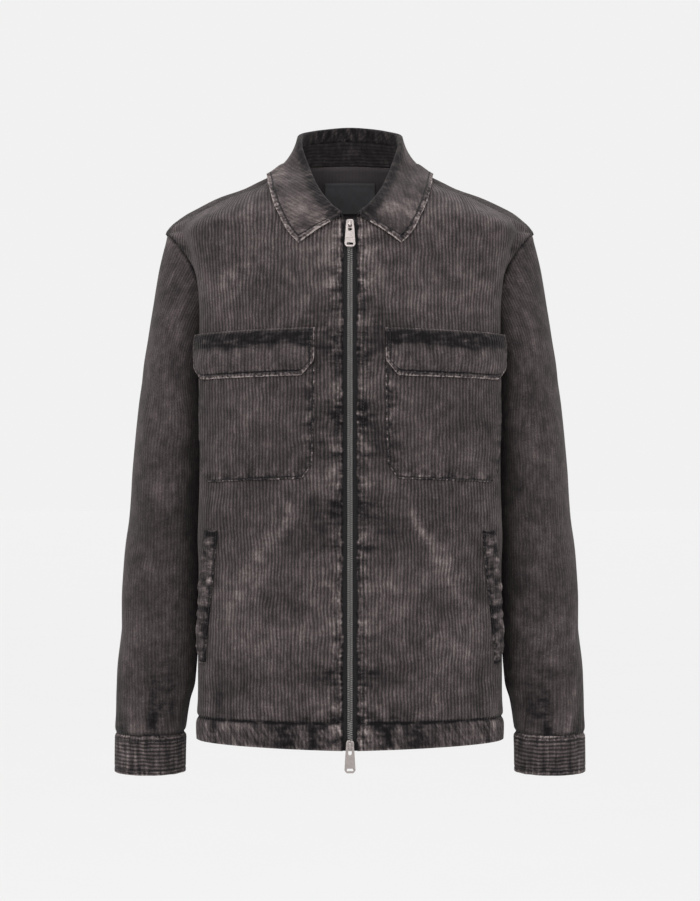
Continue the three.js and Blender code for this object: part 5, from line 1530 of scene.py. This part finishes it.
pocket_line = border_line(pocket, 2.2, POCKET_CLOTH + 0.1)
flap_line = border_line(flap, 5.0, CLOTH + 0.1)
flap_top = down_line(flap, flap.from_top, 2.0, slice(2, -2), CLOTH)
stitches("stitching_pockets", both_sides([pocket_line, flap_line, flap_top]), 3.0, 2.3)
collar_edge = down_line(fall, -fall.to_edge, -6.0, slice(7, -7))
ends = [across_line(fall, fall.run, distance, slice(16, -3)) for distance in (6.0,
    float(fall.run.max()) - 6.0)]
stitches("stitching_collar", [collar_edge, *ends], 3.0, 2.3)
cuff_lines = [down_line(cuff, CUFF_SEAM - cuff.points[..., 2], distance) for distance in (6.5, 41.5)]
stitches("stitching_cuffs", both_sides(cuff_lines), 3.0, 2.3)
welt_lines = [across_line(welt, welt.across - welt.across[:, :1], 1.6, slice(3, -3), CLOTH)]
stitches("stitching_welts", both_sides(welt_lines), 3.0, 2.2)


# Camera, light and floor: the picture's height in pixels, the size of a pixel, and the camera's place
PICTURE_HEIGHT = 901
PIXEL = 1.2
CAMERA_DISTANCE = 2600
CAMERA_HEIGHT = -345
SENSOR = 36.0
FLOOR_HEIGHT = -1250


def add_camera():
    data = bpy.data.cameras.new("camera")
    data.sensor_fit = "AUTO"
    data.sensor_width = SENSOR
    data.lens = SENSOR * CAMERA_DISTANCE / (PICTURE_HEIGHT * PIXEL)
    data.clip_end = 60
    camera = bpy.data.objects.new("camera", data)
    camera.location = (0, -CAMERA_DISTANCE * MM, CAMERA_HEIGHT * MM)
    camera.rotation_euler = (math.pi / 2, 0, 0)
    bpy.context.scene.collection.objects.link(camera)
    bpy.context.scene.camera = camera


def add_area(name, place, size, power, target=(0, 0, -0.35)):
    data = bpy.data.lights.new(name, "AREA")
    data.shape = "RECTANGLE"
    data.size, data.size_y = size
    data.energy = power
    light = bpy.data.objects.new(name, data)
    light.location = place
    light.rotation_euler = (Vector(target) - Vector(place)).to_track_quat("-Z", "Y").to_euler()
    bpy.context.scene.collection.objects.link(light)


def add_floor():
    size = 30.0
    steps = 24
    line = np.linspace(-size, size, steps + 1) * 1000
    x, y = np.meshgrid(line, line)
    points = np.stack([x, y, 0 * x + FLOOR_HEIGHT], -1).reshape(-1, 3)
    index = np.arange((steps + 1)**2).reshape(steps + 1, steps + 1)
    faces = np.stack([index[:-1, :-1], index[:-1, 1:], index[1:, 1:], index[1:, :-1]], -1).reshape(-1, 4)
    m = Nodes("floor_pale", 0.9)
    place = m.node("ShaderNodeTexCoord").outputs["Object"]
    tone = m.noise(place, 3.0, 4)
    m.shader.inputs["Emission Color"].default_value = (1, 1, 1, 1)
    m.shader.inputs["Emission Strength"].default_value = 0.73
    m.finish(m.ramp(tone, (0.2, (0.095, 0.095, 0.095)), (0.8, (0.105, 0.105, 0.105))))
    floor = make_mesh("floor", points, faces, [m.material])


def add_world():
    world = bpy.data.worlds.new("studio")
    world.use_nodes = True
    background = world.node_tree.nodes["Background"]
    background.inputs["Color"].default_value = (0.88, 0.88, 0.88, 1)
    background.inputs["Strength"].default_value = 1.0
    bpy.context.scene.world = world
    bpy.context.scene.view_settings.view_transform = "Standard"


add_camera()
add_world()
add_floor()
add_area("key", (-1.2, -2.4, 1.5), (1.8, 1.8), 60)
add_area("fill", (1.6, -2.2, 0.4), (1.6, 1.6), 26)
add_area("top", (0, 0.4, 2.2), (2.2, 1.6), 30)
